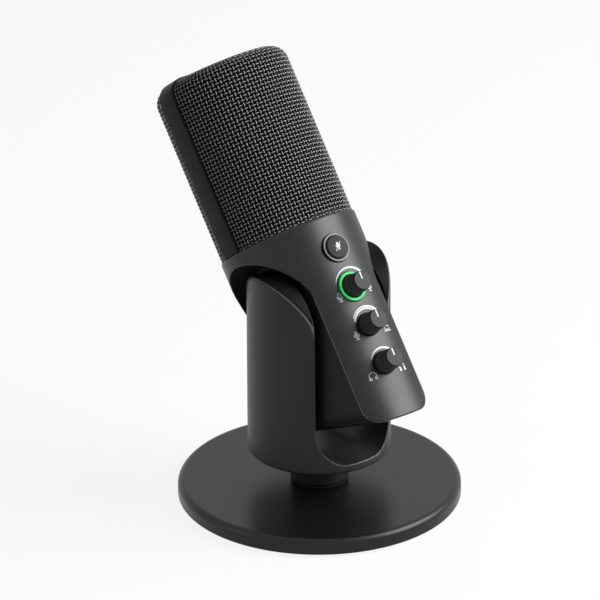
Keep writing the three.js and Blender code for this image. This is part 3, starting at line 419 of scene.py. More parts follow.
# The slot between the arms, with elliptic corners at its floor
def slot_field(x, z):
    across = np.maximum(np.abs(x) - (SLOT_HALF_WIDTH - SLOT_CORNER_WIDTH), 0)
    down = np.maximum(SLOT_FLOOR + SLOT_CORNER_HEIGHT - z, 0)
    reach = np.hypot(across / SLOT_CORNER_WIDTH, down / SLOT_CORNER_HEIGHT)
    slope = np.hypot(across / SLOT_CORNER_WIDTH**2, down / SLOT_CORNER_HEIGHT**2)
    near = (reach - 1) * reach / np.maximum(slope, TINY)
    return np.where(reach < SLOT_CORNER_CORE, -SLOT_CORNER_WIDTH, near)


# The round body, the arch over the arms and the walls of the slot between them
def yoke_parts(x, y, z):
    body = round_edge(YOKE_EDGE, np.hypot(x, y) - YOKE_RADIUS, YOKE_BOTTOM - z)
    above = z - PIVOT_HEIGHT
    arch = np.hypot(y, np.maximum(above, 0)) - ARCH_RADIUS - ARCH_SPREAD * np.maximum(-above, 0)
    return body, arch, -slot_field(x, z)


def yoke_field(x, y, z):
    body, arch, slot = yoke_parts(x, y, z)
    made = round_edge(SLOT_EDGE, round_edge(ARCH_EDGE, body, arch), slot)
    across = np.hypot(y, z - PIVOT_HEIGHT)
    plate_seat = np.maximum(across - PLATE_SEAT_RADIUS, np.abs(x) - PLATE_SEAT_DEPTH)
    nut_pocket = np.maximum(across - NUT_POCKET_RADIUS, np.abs(x) - NUT_POCKET_DEPTH)
    return np.maximum(made, -np.minimum(plate_seat, nut_pocket))


# The round wall, the collar's top and the sides that are cut away between the arms
def housing_parts(x, y, z):
    wall = np.hypot(x, y) - BODY_RADIUS
    sheared = z - (y + BODY_RADIUS) * BODY_SLOPE
    beside = np.abs(x) - (BODY_HALF_WIDTH - BODY_CORNER)
    below = BODY_BOTTOM + BODY_CORNER - sheared
    corner = np.hypot(np.maximum(beside, 0), np.maximum(below, 0)) - BODY_CORNER
    corner = corner + np.minimum(np.maximum(beside, below), 0)
    corner = corner - CORNER_RELEASE * np.maximum(z - CORNER_END, 0)
    past_side = (np.abs(x) - BODY_HALF_WIDTH) / (BODY_RADIUS - BODY_HALF_WIDTH)
    pocket = POCKET_RADIUS + past_side * POCKET_FLARE + ARCH_SPREAD * np.maximum(-z, 0)
    arch = np.hypot(y, np.maximum(z, 0)) - pocket
    arch = arch + POCKET_RELEASE * np.maximum(POCKET_END - z, 0)
    cut_away = np.maximum(BODY_HALF_WIDTH - np.abs(x), arch)
    return wall, z - COLLAR_TOP, np.maximum(corner, -cut_away)


def housing_field(x, y, z):
    return round_edge(BODY_EDGE, *housing_parts(x, y, z))


# The way that a field rises fastest, at each point.
def gradient(field, points, step=0.01):
    slopes = [field(*(points + way).T) - field(*(points - way).T) for way in np.eye(3) * step]
    return np.stack(slopes, 1) / (2 * step)


# For each cell, the middle of the spots where the surface crosses its edges, counted in cells.
def crossing_middles(values, cells):
    total = np.zeros((len(cells), 3))
    crossings = np.zeros(len(cells))
    for corner in np.array(CELL_CORNERS):
        for way in np.eye(3, dtype=int):
            if way @ corner:
                continue
            first = values[tuple((cells + corner).T)]
            second = values[tuple((cells + corner + way).T)]
            mixed = (first < 0) != (second < 0)
            share = np.where(mixed, first / np.where(mixed, first - second, 1), 0)
            total += (corner + way * share[:, None]) * mixed[:, None]
            crossings += mixed
    return cells + total / crossings[:, None]


# Points drawn onto the surface where a field is zero, by half a cell at most each time.
def settled(field, points):
    for _ in range(SETTLING_PASSES):
        slope = gradient(field, points)
        steep = np.maximum((slope**2).sum(1), FLATTEST)
        move = slope * (field(*points.T) / steep)[:, None]
        points = points - np.clip(move, -CELL / 2, CELL / 2)
    return points


# A four sided face round each edge of the grid that crosses the surface, turned outwards.
def crossing_faces(inside, number):
    faces = []
    for axis in range(3):
        one, two = [a for a in range(3) if a != axis]
        near = np.take(inside, range(inside.shape[axis] - 1), axis)
        far = np.take(inside, range(1, inside.shape[axis]), axis)
        edges = np.argwhere(near != far)
        edges = edges[(edges[:, one] > 0) & (edges[:, two] > 0)]
        around = []
        for back_one, back_two in ((1, 1), (0, 1), (0, 0), (1, 0)):
            spot = edges.copy()
            spot[:, one] -= back_one
            spot[:, two] -= back_two
            around.append(number[tuple(spot.T)])
        quads = np.stack(around, 1)
        turned_over = near[tuple(edges.T)] == (axis == 1)
        quads[turned_over] = quads[turned_over][:, ::-1]
        faces.append(quads)
    return np.concatenate(faces)


# Points and four sided faces on the surface where a field is zero.
def surface(field, low, high):
    axes = [np.arange(a, b + CELL, CELL) for a, b in zip(low, high)]
    values = field(axes[0][:, None, None], axes[1][None, :, None], axes[2][None, None, :])
    inside = values < 0
    counts = np.zeros([n - 1 for n in inside.shape], np.int8)
    for i, j, k in CELL_CORNERS:
        counts += inside[i : i - 1 or None, j : j - 1 or None, k : k - 1 or None]
    cells = np.argwhere((counts > 0) & (counts < len(CELL_CORNERS)))
    number = np.full(counts.shape, -1, np.int64)
    number[tuple(cells.T)] = np.arange(len(cells))
    points = crossing_middles(values, cells) * CELL + np.array(low, float)
    return settled(field, points), crossing_faces(inside, number)


def facing_out(mesh):
    build = bmesh.new()
    build.from_mesh(mesh)
    bmesh.ops.recalc_face_normals(build, faces=build.faces)
    build.to_mesh(mesh)
    build.free()


# A mesh with each of the cutters' shapes taken out of it.
def cut(name, mesh, cutters):
    body = new_object(f"{name}_uncut", mesh)
    tools = []
    for count, (points, faces) in enumerate(cutters):
        tool_mesh = bpy.data.meshes.new(f"{name}_cutter_{count}")
        tool_mesh.from_pydata(np.asarray(points).tolist(), [], faces)
        facing_out(tool_mesh)
        tool = new_object(tool_mesh.name, tool_mesh)
        tools.append(tool)
        boolean = body.modifiers.new(f"cut_{count}", "BOOLEAN")
        boolean.operation = "DIFFERENCE"
        boolean.solver = "EXACT"
        boolean.object = tool
    ready = body.evaluated_get(bpy.context.evaluated_depsgraph_get())
    made = bpy.data.meshes.new_from_object(ready)
    for extra in [*tools, body]:
        bpy.data.objects.remove(extra)
    return made


# An attribute of a mesh's vertices or faces, three numbers to a row.
def rows_of(items, attribute):
    values = np.empty(len(items) * 3)
    items.foreach_get(attribute, values)
    return values.reshape(-1, 3)


# A mesh of a field's surface, cut by finer shapes, with its points and the normals of its face
# corners. Those follow the field, except on faces that a cutter made.
def carved(name, field, low, high, cutters=()):
    points, faces = surface(field, low, high)
    mesh = bpy.data.meshes.new(name)
    mesh.from_pydata(points.tolist(), [], faces.tolist())
    if cutters:
        mesh = cut(name, mesh, cutters)
    spots = rows_of(mesh.vertices, "co")
    corners = np.empty(len(mesh.loops), np.int64)
    mesh.loops.foreach_get("vertex_index", corners)
    sides = [polygon.loop_total for polygon in mesh.polygons]
    flat = np.repeat(rows_of(mesh.polygons, "normal"), sides, axis=0)
    smooth = unit(gradient(field, spots))[corners]
    kept = (smooth * flat).sum(1) > SAME_WAY
    return mesh, spots, np.where(kept[:, None], smooth, flat)


def store_relief(mesh, values):
    stored = mesh.attributes.new(RELIEF, "FLOAT", "POINT")
    stored.data.foreach_set("value", np.asarray(values, float))


# A carved mesh moved to its place, with its relief and its normals.
def place_carved(mesh, spots, normals, place, relief):
    store_relief(mesh, relief)
    mesh.vertices.foreach_set("co", place(spots).ravel())
    turned_normals = (place(normals) - place(np.zeros((1, 3)))) / MM
    mesh.shade_smooth()
    mesh.normals_split_custom_set(turned_normals.tolist())
    mesh.update()
    return mesh


# Flattened wire along paths. Each path has its line, the surface's normals beside it and how high
# each point stands in the weave, from 0 to 1.
def wires(paths, half_width, half_thickness, sides):
    angles = np.arange(sides)[:, None] * 2 * math.pi / sides
    high, wide = half_thickness * np.cos(angles), half_width * np.sin(angles)
    points, faces, heights = [], [], []
    start = 0
    for line, normals, shares in paths:
        ahead = unit(np.gradient(line, axis=0))
        side = unit(np.cross(ahead, normals))
        up = np.cross(side, ahead)
        rings = line[:, None] + high * up[:, None] + wide * side[:, None]
        points.append(rings.reshape(-1, 3))
        heights.append(np.repeat(shares, sides))
        faces.extend(tube_faces(len(line), sides, start))
        start += len(line) * sides
    return np.concatenate(points), faces, np.concatenate(heights)


# Inputs of a node by name or number. Each gets a constant, or a link from another node's output.
def feed(tree, node, inputs):
    for key, value in inputs.items():
        if isinstance(value, bpy.types.NodeSocket):
            tree.links.new(value, node.inputs[key])
        else:
            node.inputs[key].default_value = value


def new_node(tree, kind, inputs, **settings):
    made = tree.nodes.new(kind)
    for setting, value in settings.items():
        setattr(made, setting, value)
    feed(tree, made, inputs)
    return made


def new_material(name):
    made = bpy.data.materials.new(name)
    made.use_nodes = True
    return made, made.node_tree, made.node_tree.nodes[SHADER]


def noise(tree, size):
    place = new_node(tree, "ShaderNodeTexCoord", {}).outputs["Object"]
    inputs = {"Vector": place, "Scale": 1 / (size * MM), "Detail": NOISE_DETAIL}
    return new_node(tree, "ShaderNodeTexNoise", inputs).outputs["Fac"]


# A value with one span of its range spread over another.
def spread(tree, value, low, high, span=(0.0, 1.0)):
    inputs = {
        "Value": value,
        "From Min": span[0],
        "From Max": span[1],
        "To Min": low,
        "To Max": high,
    }
    return new_node(tree, "ShaderNodeMapRange", inputs).outputs["Result"]


def mixed_color(tree, share, low, high):
    inputs = {"Factor": share, "A": low, "B": high}
    return new_node(tree, "ShaderNodeMix", inputs, data_type="RGBA").outputs["Result"]


# A coat or plastic: colour and gloss that drift a little, and a fine grain with its size and depth.
def coat(name, color, roughness, specular=0.5, grain=0.3, depth=0.01, metallic=0.0):
    made, tree, shader = new_material(name)
    broad = noise(tree, DRIFT_SIZE)
    darker = [c * (1 - COLOR_DRIFT) for c in color]
    lighter = [c * (1 + COLOR_DRIFT) for c in color]
    share = spread(tree, broad, 0.0, 1.0, NOISE_SPAN)
    gloss = spread(tree, broad, roughness - GLOSS_DRIFT, roughness + GLOSS_DRIFT, NOISE_SPAN)
    grained = {"Strength": 1.0, "Distance": depth * MM, "Height": noise(tree, grain)}
    inputs = {
        "Base Color": mixed_color(tree, share, (*darker, 1), (*lighter, 1)),
        "Roughness": gloss,
        "Normal": new_node(tree, "ShaderNodeBump", grained).outputs["Normal"],
        "Metallic": metallic,
        "Specular IOR Level": specular,
    }
    feed(tree, shader, inputs)
    return made


def metal(name, color, roughness=0.32, depth=0.004):
    return coat(name, color, roughness, grain=0.15, depth=depth, metallic=1.0)


# A translucent ring that glows in one colour and takes less of the room's light.
def lit(name, color):
    dimmed = [c * LIT_SHARE for c in color]
    made = coat(name, dimmed, roughness=0.4, specular=0.2, grain=0.4, depth=0.004)
    glow = {"Emission Color": (*color, 1), "Emission Strength": 1.0}
    feed(made.node_tree, made.node_tree.nodes[SHADER], glow)
    return made


# A coat that is lighter where the mesh's relief is high: a painted highlight on round edges, ribs
# and wire tops, and painted shade in the hollows.
def relief_coat(name, high, span, color, roughness, specular, **grain):
    made = coat(name, color, roughness, specular, **grain)
    tree = made.node_tree
    shader = tree.nodes[SHADER]
    plain = shader.inputs["Base Color"].links[0].from_socket
    relief = new_node(tree, "ShaderNodeAttribute", {}, attribute_name=RELIEF).outputs["Fac"]
    share = spread(tree, relief, 0.0, 1.0, span)
    feed(tree, shader, {"Base Color": mixed_color(tree, share, plain, (*high, 1))})
    return made


# A coat with a painted highlight along its rounded edges.
def edged_coat(name, color, roughness, specular):
    return relief_coat(name, EDGE_HIGHLIGHT, EDGE_SPAN, color, roughness, specular, depth=0.006)


# Colour, roughness and specular level, and the grain's size and depth in millimetres
BASE_COAT = coat("base_powder_coat", (0.0055, 0.0057, 0.006), 0.32, 0.28, grain=0.35, depth=0.004)
YOKE_COAT = edged_coat("yoke_satin_coat", (0.02, 0.0203, 0.021), 0.42, 0.22)
HOUSING = edged_coat("housing_satin_plastic", (0.003, 0.0031, 0.0034), 0.38, 0.35)
# The arch faces over the arms get a darker, duller copy of the yoke's coat: painted shade
ARCH_SHADE_COAT = edged_coat("arch_painted_shade_coat", (0.003, 0.0031, 0.0033), 0.5, 0.05)
# The housing's cut-away sides get a copy of its plastic with less reflection: painted shade
SIDE_SHADE_PLASTIC = edged_coat("side_painted_shade_plastic", (0.009, 0.0092, 0.0095), 0.5, 0.11)
BAND_COAT = coat("band_satin_coat", (0.005, 0.0052, 0.0056), 0.45, 0.1, depth=0.006)
# Black wire whose tops are painted light grey as a highlight and whose dips stay near black as
# painted shade
WIRE_COLOR = (0.004, 0.004, 0.004)
WIRE_TOP_HIGHLIGHT = (0.3, 0.3, 0.303)
WIRE_COAT = relief_coat("wire_black_coat", WIRE_TOP_HIGHLIGHT, WIRE_SPAN, WIRE_COLOR, 0.3, 0.3, grain=0.25)
FOAM = coat("foam_black", (0.003, 0.003, 0.003), 0.95, 0.05, grain=0.7, depth=0.3)
RUBBER = coat("foot_rubber_black", (0.01, 0.01, 0.01), 0.8, 0.2, grain=0.25, depth=0.03)
# Black knob plastic with rib ridges painted lighter as a highlight and grooves near black as
# painted shade
KNOB_COLOR = (0.002, 0.002, 0.002)
KNOB_RIDGE_HIGHLIGHT = (0.11, 0.11, 0.113)
KNOB_SIDE = relief_coat("knob_black_plastic", KNOB_RIDGE_HIGHLIGHT, EDGE_SPAN, KNOB_COLOR, 0.5, 0.12)
KNOB_FACE = coat("knob_face_grey", (0.03, 0.03, 0.031), 0.55, 0.22, grain=0.2)
BUTTON = coat("button_black_plastic", (0.006, 0.0061, 0.0064), 0.48, 0.17, depth=0.008)
PALE_RING = coat("mute_ring_pale", (0.12, 0.132, 0.135), 0.4, 0.3, grain=0.4, depth=0.004)
PRINT = coat("print_white", (0.62, 0.63, 0.64), 0.5, grain=0.2, depth=0.002)
GREEN = lit("light_green", (0.03, 0.5, 0.11))
# A darker green for the light ring's sides: painted shade
GREEN_SIDE_SHADE = lit("light_green_side_shade", (0.002, 0.05, 0.012))
# Near black for the mute ring's sides: painted shade
RING_WALL_SHADE = coat("ring_wall_painted_shade", (0.006, 0.006, 0.006), 0.5, 0.2)
STEEL = metal("steel_satin", (0.5, 0.51, 0.53))
BRASS = metal("brass_satin", (0.6, 0.42, 0.16))
ALUMINIUM = metal("aluminium_satin", (0.6, 0.61, 0.63), roughness=0.35)
GOLD = metal("capsule_gold", (0.65, 0.47, 0.18), roughness=0.28, depth=0.003)
NYLON = coat("nylon_black", (0.012, 0.012, 0.012), 0.5, 0.3)
BOARD = coat("circuit_board_green", (0.02, 0.1, 0.055), 0.4, grain=0.5)
FINISH_OF_SLOT = {
    "base_coat": BASE_COAT,
    "foot_rubber": RUBBER,
    "steel": STEEL,
    "brass": BRASS,
    "nylon": NYLON,
    "yoke_coat": YOKE_COAT,
    "housing_plastic": HOUSING,
    "knob_plastic": KNOB_SIDE,
    "circuit_board": BOARD,
    "green_light": GREEN,
    "pale_light_ring": PALE_RING,
    "frame_coat": BAND_COAT,
    "grille_wire": WIRE_COAT,
    "foam": FOAM,
    "aluminium": ALUMINIUM,
    "capsule_metal": GOLD,
}


def dress_solids():
    for subpart in frame["record"]["subparts"]:
        node = frame["nodes"][subpart["node"]]
        node.data.materials.clear()
        node.data.materials.append(FINISH_OF_SLOT[subpart["material_slot"]])


def make_base():
    seat = FOOT_RADIUS + FOOT_GAP
    ceiling = FOOT_TOP + FOOT_GAP
    corners = [
        (0, ceiling, 0),
        (seat, ceiling, 0),
        (seat, BASE_BOTTOM, 0.25),
        (BASE_RADIUS, BASE_BOTTOM, BASE_EDGE),
        (BASE_RADIUS, BASE_TOP, BASE_SHOULDER),
        (0, BASE_TOP, 0),
    ]
    shape = turned(rounded(corners, steps=10), around=240)
    piece("base", *shape, "stand", BASE_COAT, "base_coat", ["base_plate"], upright)


def make_foot():
    corners = [(0, 0, 0)]
    for radius in FOOT_GROOVES:
        corners += [(radius + across, high, size) for across, high, size in GROOVE_PROFILE]
    corners += [(FOOT_RADIUS, 0, 0.3), (FOOT_RADIUS, FOOT_TOP, 0.2), (0, FOOT_TOP, 0)]
    shape = turned(rounded(corners, steps=3, support=0.02), around=160)
    piece("foot", *shape, "stand", RUBBER, "foot_rubber", ["foot_pad"], upright)


# Chosen faces get a second material.
def second_finish(made, chosen, finish):
    made.data.materials.append(finish)
    made.data.polygons.foreach_set("material_index", chosen.astype(np.int32))


def make_yoke():
    reach = YOKE_RADIUS + SIDE_MARGIN
    low = (-reach, -reach, YOKE_BOTTOM - END_MARGIN)
    high = (reach, reach, PIVOT_HEIGHT + ARCH_RADIUS + SIDE_MARGIN)
    mesh, spots, normals = carved("yoke_arms", yoke_field, low, high)
    body, arch, slot = yoke_parts(*rows_of(mesh.polygons, "center").T)
    on_arch = arch > np.maximum(body, slot)
    # Round edges get a high relief, which the coat paints as a lighter line: painted highlight
    body, arch, slot = yoke_parts(*spots.T)
    slot_edge = edge_share(SLOT_EDGE, round_edge(ARCH_EDGE, body, arch), slot)
    relief = np.maximum(slot_edge, edge_share(ARCH_EDGE, body, arch) ** 2)
    mesh = place_carved(mesh, spots, normals, upright, relief)
    arms = dressed("yoke_arms", mesh, "stand", YOKE_COAT, ["yoke"])
    # Arch faces take the darker copy of the coat: painted shade
    second_finish(arms, on_arch, ARCH_SHADE_COAT)
    top = YOKE_BOTTOM + NECK_OVERLAP
    neck = [
        (NECK_BORE_RADIUS, top, 0),
        (NECK_BORE_RADIUS, NECK_BOTTOM, 0.2),
        (NECK_RADIUS, NECK_BOTTOM, NECK_EDGE),
        (NECK_RADIUS, top, 0),
    ]
    shape = turned(rounded(neck), around=128, closed=True)
    piece("yoke_neck", *shape, "stand", YOKE_COAT, "yoke_coat", ["yoke"], upright)


# A turned cutter from one depth to another, with a hole where its inner radius isn't 0.
def cutter(inner, outer, start, end, around):
    outline = [(inner, start), (outer, start), (outer, end), (inner, end)]
    return turned(outline, around, closed=inner > 0)


# Housing with its holes cut sharp
def make_housing():
    collar = cutter(0, COLLAR_SEAT_RADIUS, COLLAR_SEAT, COLLAR_CUT_TOP, around=128)
    button = cutter(0, MUTE_BORE, MUTE_BORE_FLOOR, FACE_CUT_END, around=96)
    light = cutter(*LIGHT_GROOVE, LIGHT_GROOVE_FLOOR, FACE_CUT_END, around=96)
    jack = cutter(0, JACK_HOLE_RADIUS, -FACE_CUT_END, -REAR_CUT_START, around=64)
    cutters = [
        collar,
        facing_front(button, MUTE_HEIGHT),
        facing_front(light, KNOB_HEIGHTS[0]),
        facing_front(jack, JACK_HEIGHT),
        stadium_block(*USB_HOLE, USB_HEIGHT, REAR_CUT_START, FACE_CUT_END),
        cap_seat(),
    ]
    reach = BODY_RADIUS + SIDE_MARGIN
    low = (-reach, -reach, BODY_BOTTOM - END_MARGIN)
    high = (reach, reach, COLLAR_TOP + END_MARGIN)
    mesh, spots, normals = carved("housing", housing_field, low, high, cutters)
    wall, top, sides = housing_parts(*rows_of(mesh.polygons, "center").T)
    on_sides = sides > np.maximum(wall, top)
    # Round edges get a high relief, painted as a lighter line: painted highlight
    relief = edge_share(BODY_EDGE, *housing_parts(*spots.T))
    mesh = place_carved(mesh, spots, normals, tilted, relief)
    housing = dressed("housing", mesh, "head", HOUSING, ["body_housing"])
    # Cut-away sides take the less reflective copy of the plastic: painted shade
    second_finish(housing, on_sides, SIDE_SHADE_PLASTIC)


# The seat of the bottom cap, cut up into the housing along its sloping lower end.
def cap_seat(steps=24):
    side = math.acos(CAP_SEAT_HALF_WIDTH / CAP_SEAT_RADIUS)
    outline = []
    for start in (side, math.pi + side):
        for i in range(steps + 1):
            angle = start + (math.pi - 2 * side) * i / steps
            outline.append((CAP_SEAT_RADIUS * math.cos(angle), CAP_SEAT_RADIUS * math.sin(angle)))
    floor = BODY_BOTTOM + CAP_SEAT_DEPTH
    points = [(x, y, BODY_BOTTOM - CAP_CUT_REACH) for x, y in outline]
    points += [(x, y, floor + (y + BODY_RADIUS) * BODY_SLOPE) for x, y in outline]
    return np.array(points), tube_faces(2, len(outline))


# A level block with round sides, from one depth to another.
def stadium_block(width, height, middle, start, end, steps=16):
    radius = height / 2
    straight = (width - height) / 2
    outline = []
    for side in (1, -1):
        for i in range(steps + 1):
            angle = math.pi * i / steps - side * math.pi / 2
            x = side * straight + radius * math.cos(angle)
            outline.append((x, middle + radius * math.sin(angle)))
    points = [(x, y, z) for y in (start, end) for x, z in outline]
    return np.array(points), tube_faces(2, len(outline))


# Faces that look forwards, past a depth in front of the tilt axis, get a second material.
def face_panel(made, level, finish):
    origin, start, ahead = tilted([(0, 0, 0), (0, -level, 0), (0, -1, 0)])
    toward = unit(ahead - origin)
    past = (rows_of(made.data.polygons, "center") - start) @ toward > 0
    facing = rows_of(made.data.polygons, "normal") @ toward > FACING
    second_finish(made, past & facing, finish)


# A ring in the panel with a flat face and a bevelled edge. Its sides take the first finish, a
# darker copy of the face's colour: painted shade.
def panel_ring(name, height, radii, face, bevel, finishes, slot, node):
    inner, outer = radii
    across, down = bevel
    corners = [
        (inner, RING_BACK, 0),
        (outer, RING_BACK, 0),
        (outer, face - down, RING_EDGE),
        (outer - across, face, RING_EDGE),
        (inner, face, RING_EDGE),
    ]
    outline = rounded(corners, steps=4, support=0.03, closed=True)
    shape = facing_front(turned(outline, around=128, closed=True), height)
    made = piece(name, *shape, "head", finishes[0], slot, [node])
    face_panel(made, face - FACE_DEPTH, finishes[1])


def make_rings():
    # The rings' sides are darker than their faces: painted shade
    light = (LIGHT_RING, LIGHT_RING_FACE, LIGHT_RING_BEVEL, (GREEN_SIDE_SHADE, GREEN))
    # The pale ring's sides are near black: painted shade
    mute = (MUTE_RING, MUTE_RING_FACE, MUTE_RING_BEVEL, (RING_WALL_SHADE, PALE_RING))
    panel_ring("light_ring_lit", KNOB_HEIGHTS[0], *light, "green_light", "light_ring")
    panel_ring("mute_ring_pale", MUTE_HEIGHT, *mute, "pale_light_ring", "mute_ring")


def make_button():
    corners = [
        (0, MUTE_BACK, 0),
        (MUTE_RADIUS, MUTE_BACK, 0),
        (MUTE_RADIUS, MUTE_FACE, MUTE_EDGE),
        (MUTE_RADIUS / 2, MUTE_FACE + 0.75 * MUTE_DOME, MUTE_DOME_ROUNDING),
        (0, MUTE_FACE + MUTE_DOME, 0),
    ]
    shape = facing_front(turned(rounded(corners)), MUTE_HEIGHT)
    piece("mute_dome", *shape, "mute", BUTTON, "knob_plastic", ["mute_button"])


# Knob: a plain skirt, fine ribs up a tapered side, a flat grey face and a white pointer
def make_knob(height, name):
    around = KNOB_RIBS * RIB_POINTS
    angles = (np.arange(around) + 0.5) * 2 * math.pi / around
    groove = np.clip(0.5 - RIB_SWING * np.cos(angles * KNOB_RIBS), 0, 1)
    rows = list(KNOB_SKIRT)
    for step in range(KNOB_ROUNDING_STEPS + 1):
        angle = math.pi / 2 * step / KNOB_ROUNDING_STEPS
        radius = KNOB_RADIUS - KNOB_ROUNDING * (1 - math.cos(angle))
        level = KNOB_TOP - KNOB_ROUNDING * (1 - math.sin(angle))
        rows.append((radius, level, max(0.0, 1 - step / RIB_FADE_STEPS)))
    rim = KNOB_RADIUS - KNOB_ROUNDING
    rows.append((rim - KNOB_RIM_FLAT, KNOB_TOP, 0.0))
    points, relief = [], []
    for radius, level, share in rows:
        reach = radius - KNOB_RIB_DEPTH * share * groove
        points += list(zip(reach * np.cos(angles), reach * np.sin(angles), [level] * around))
        relief.append(share * (1 - groove))
    body = f"{name}_knob"
    shape = facing_front((points, tube_faces(len(rows), around)), height)
    made = piece(f"knob_{name}_cap", *shape, body, KNOB_SIDE, "knob_plastic", [f"knob_{name}"])
    # Rib ridges get a high relief and grooves a low one: painted highlight and shade
    store_relief(made.data, np.concatenate(relief))
    face_panel(made, KNOB_TOP - FACE_DEPTH, KNOB_FACE)
    half = POINTER_WIDTH / 2
    outline = [(-half, POINTER_START), (half, POINTER_START), (half, rim), (-half, rim)]
    levels = (KNOB_TOP - POINTER_SUNK, KNOB_TOP + POINTER_PROUD)
    points = [(x, y, z) for z in levels for x, y in outline]
    shape = facing_front((points, tube_faces(2, len(outline))), height)
    piece(f"pointer_{name}", *shape, body, PRINT, "pale_light_ring")


# Marks are drawn as flat strips in (x, height) millimetres, each with a left and a right side of
# as many points, and are then laid on a curved face.
def ribbon(points, width):
    line = np.array(points, float)
    ahead = unit(np.gradient(line, axis=0))
    side = np.stack([-ahead[:, 1], ahead[:, 0]], 1) * width / 2
    return line + side, line - side


def level_ribbon(x, y, half, width, count):
    return ribbon([(v, y) for v in np.linspace(x - half, x + half, count)], width)


def arc_line(x, y, radius, start, end, steps):
    angles = np.radians(np.linspace(start, end, steps + 1))
    return np.stack([x + radius * np.cos(angles), y + radius * np.sin(angles)], 1)


def bar(x, y, width, height):
    level = np.linspace(y - height / 2, y + height / 2, BAR_POINTS)
    left, right = (np.full(BAR_POINTS, x + side) for side in (-width / 2, width / 2))
    return np.stack([left, level], 1), np.stack([right, level], 1)


# A filled upright shape with round ends.
def pill(x, y, width, height, steps=8):
    half = width / 2
    turn = np.linspace(0, math.pi / 2, steps + 1)
    reach = np.maximum(half * np.sin(turn), PILL_TIP)
    reach = np.concatenate([reach, reach[::-1]])
    rise = height / 2 - half + half * np.cos(turn)
    level = y + np.concatenate([-rise, rise[::-1]])
    return np.stack([x - reach, level], 1), np.stack([x + reach, level], 1)


# Strips as thin raised print on a surface with a depth at each point.
def laid(strips, surface_depth):
    ring = ((0, MARK_PROUD), (0, -MARK_SUNK), (1, -MARK_SUNK), (1, MARK_PROUD))
    shapes = []
    for strip in strips:
        points = []
        for spots in zip(*strip):
            for side, lift in ring:
                x, z = spots[side]
                points.append((x, -(surface_depth(x, z) + lift), z))
        shapes.append((points, tube_faces(len(strip[0]), len(ring))))
    return joined(*shapes)


# A microphone: a filled or an outlined capsule in a holder on a foot.
def microphone_mark(x, y, filled, size):
    line = 0.34 * size
    half = 0.55 * size
    low, high = y + 0.35 * size, y + 1.45 * size
    middle = (low + high) / 2
    if filled:
        strips = [pill(x, middle, width=1.35 * size, height=2.5 * size)]
    else:
        strips = [
            ribbon(arc_line(x, high, half, start=0, end=180, steps=10), line),
            ribbon(arc_line(x, low, half, start=180, end=360, steps=10), line),
            bar(x - half, middle, line, high - low),
            bar(x + half, middle, line, high - low),
        ]
    reach = 1.15 * size
    holder_top = y + 0.85 * size
    holder = arc_line(x, y + 0.4 * size, reach, start=180, end=360, steps=14)
    strips.append(ribbon([(x - reach, holder_top), *holder, (x + reach, holder_top)], line))
    strips.append(bar(x, y - 1.1 * size, line, height=0.75 * size))
    strips.append(level_ribbon(x, y - 1.55 * size, 0.75 * size, line, count=2))
    return strips


# Headphones: a bow over two filled cups, or over two rings
def headphone_mark(x, y, filled):
    bow = arc_line(x, y - 0.1, radius=1.85, start=-15, end=195, steps=24)
    strips = [ribbon(bow, width=0.28)]
    for middle in (x - 1.5, x + 1.5):
        if filled:
            strips.append(pill(middle, y - 1.2, width=1.05, height=2.0))
        else:
            ring = arc_line(middle, y - 1.25, radius=0.58, start=0, end=360, steps=20)
            strips.append(ribbon(ring, width=0.34))
    return strips


# A portable computer: a screen's outline over a wider base line
def computer_mark(x, y):
    half = 1.45
    line = 0.26
    strips = [bar(x + side, y + 0.35, line, height=2.0) for side in (-half, half)]
    for height in (y + 1.22, y - 0.52):
        strips.append(level_ribbon(x, height, half, line, count=6))
    strips.append(level_ribbon(x, y - 1.2, half=2.3, width=0.42, count=8))
    return strips


# A scale arc round a knob, between two clock angles. It winds out and grows wider on its way.
def scale_arc(height, clocks, radii, widths, bend, steps=40):
    share = np.linspace(0, 1, steps + 1)
    clock = np.radians(clocks[0] + (clocks[1] - clocks[0]) * share)
    middle = radii[0] + (radii[1] - radii[0]) * share**bend
    half = (widths[0] + (widths[1] - widths[0]) * share) / 2
    way = np.stack([np.sin(clock), np.cos(clock)], 1)
    outer, inner = (way * reach[:, None] for reach in (middle + half, middle - half))
    return outer + (0, height), inner + (0, height)


def panel_depth(x, _z):
    return math.sqrt(BODY_RADIUS**2 - x * x)


def make_marks():
    strips = [scale_arc(KNOB_HEIGHTS[knob], *arc) for knob, *arc in SCALE_ARCS]
    strips += microphone_mark(-8.0, -1.2, filled=False, size=MARK_SIZE)
    strips += microphone_mark(10.1, -0.7, filled=True, size=MARK_SIZE)
    strips += microphone_mark(-7.6, -20.8, filled=True, size=MARK_SIZE)
    strips += computer_mark(10.2, -21.8)
    strips += headphone_mark(-8.0, -41.2, filled=False)
    strips += headphone_mark(9.6, -41.2, filled=True)
    shape = laid(strips, panel_depth)
    piece("panel_marks", *shape, "head", PRINT, "pale_light_ring")


def button_depth(x, z):
    away = math.hypot(x, z - MUTE_HEIGHT)
    return MUTE_FACE + MUTE_DOME * (1 - away / MUTE_RADIUS / 2)


# A struck out microphone
def make_button_mark():
    strips = microphone_mark(0.0, MUTE_HEIGHT, filled=True, size=BUTTON_MARK_SIZE)
    line = [(v, MUTE_HEIGHT + v) for v in np.linspace(-BUTTON_STROKE_REACH, BUTTON_STROKE_REACH, 9)]
    strips.append(ribbon(line, width=0.3))
    shape = laid(strips, button_depth)
    piece("button_mark", *shape, "mute", PRINT, "pale_light_ring")


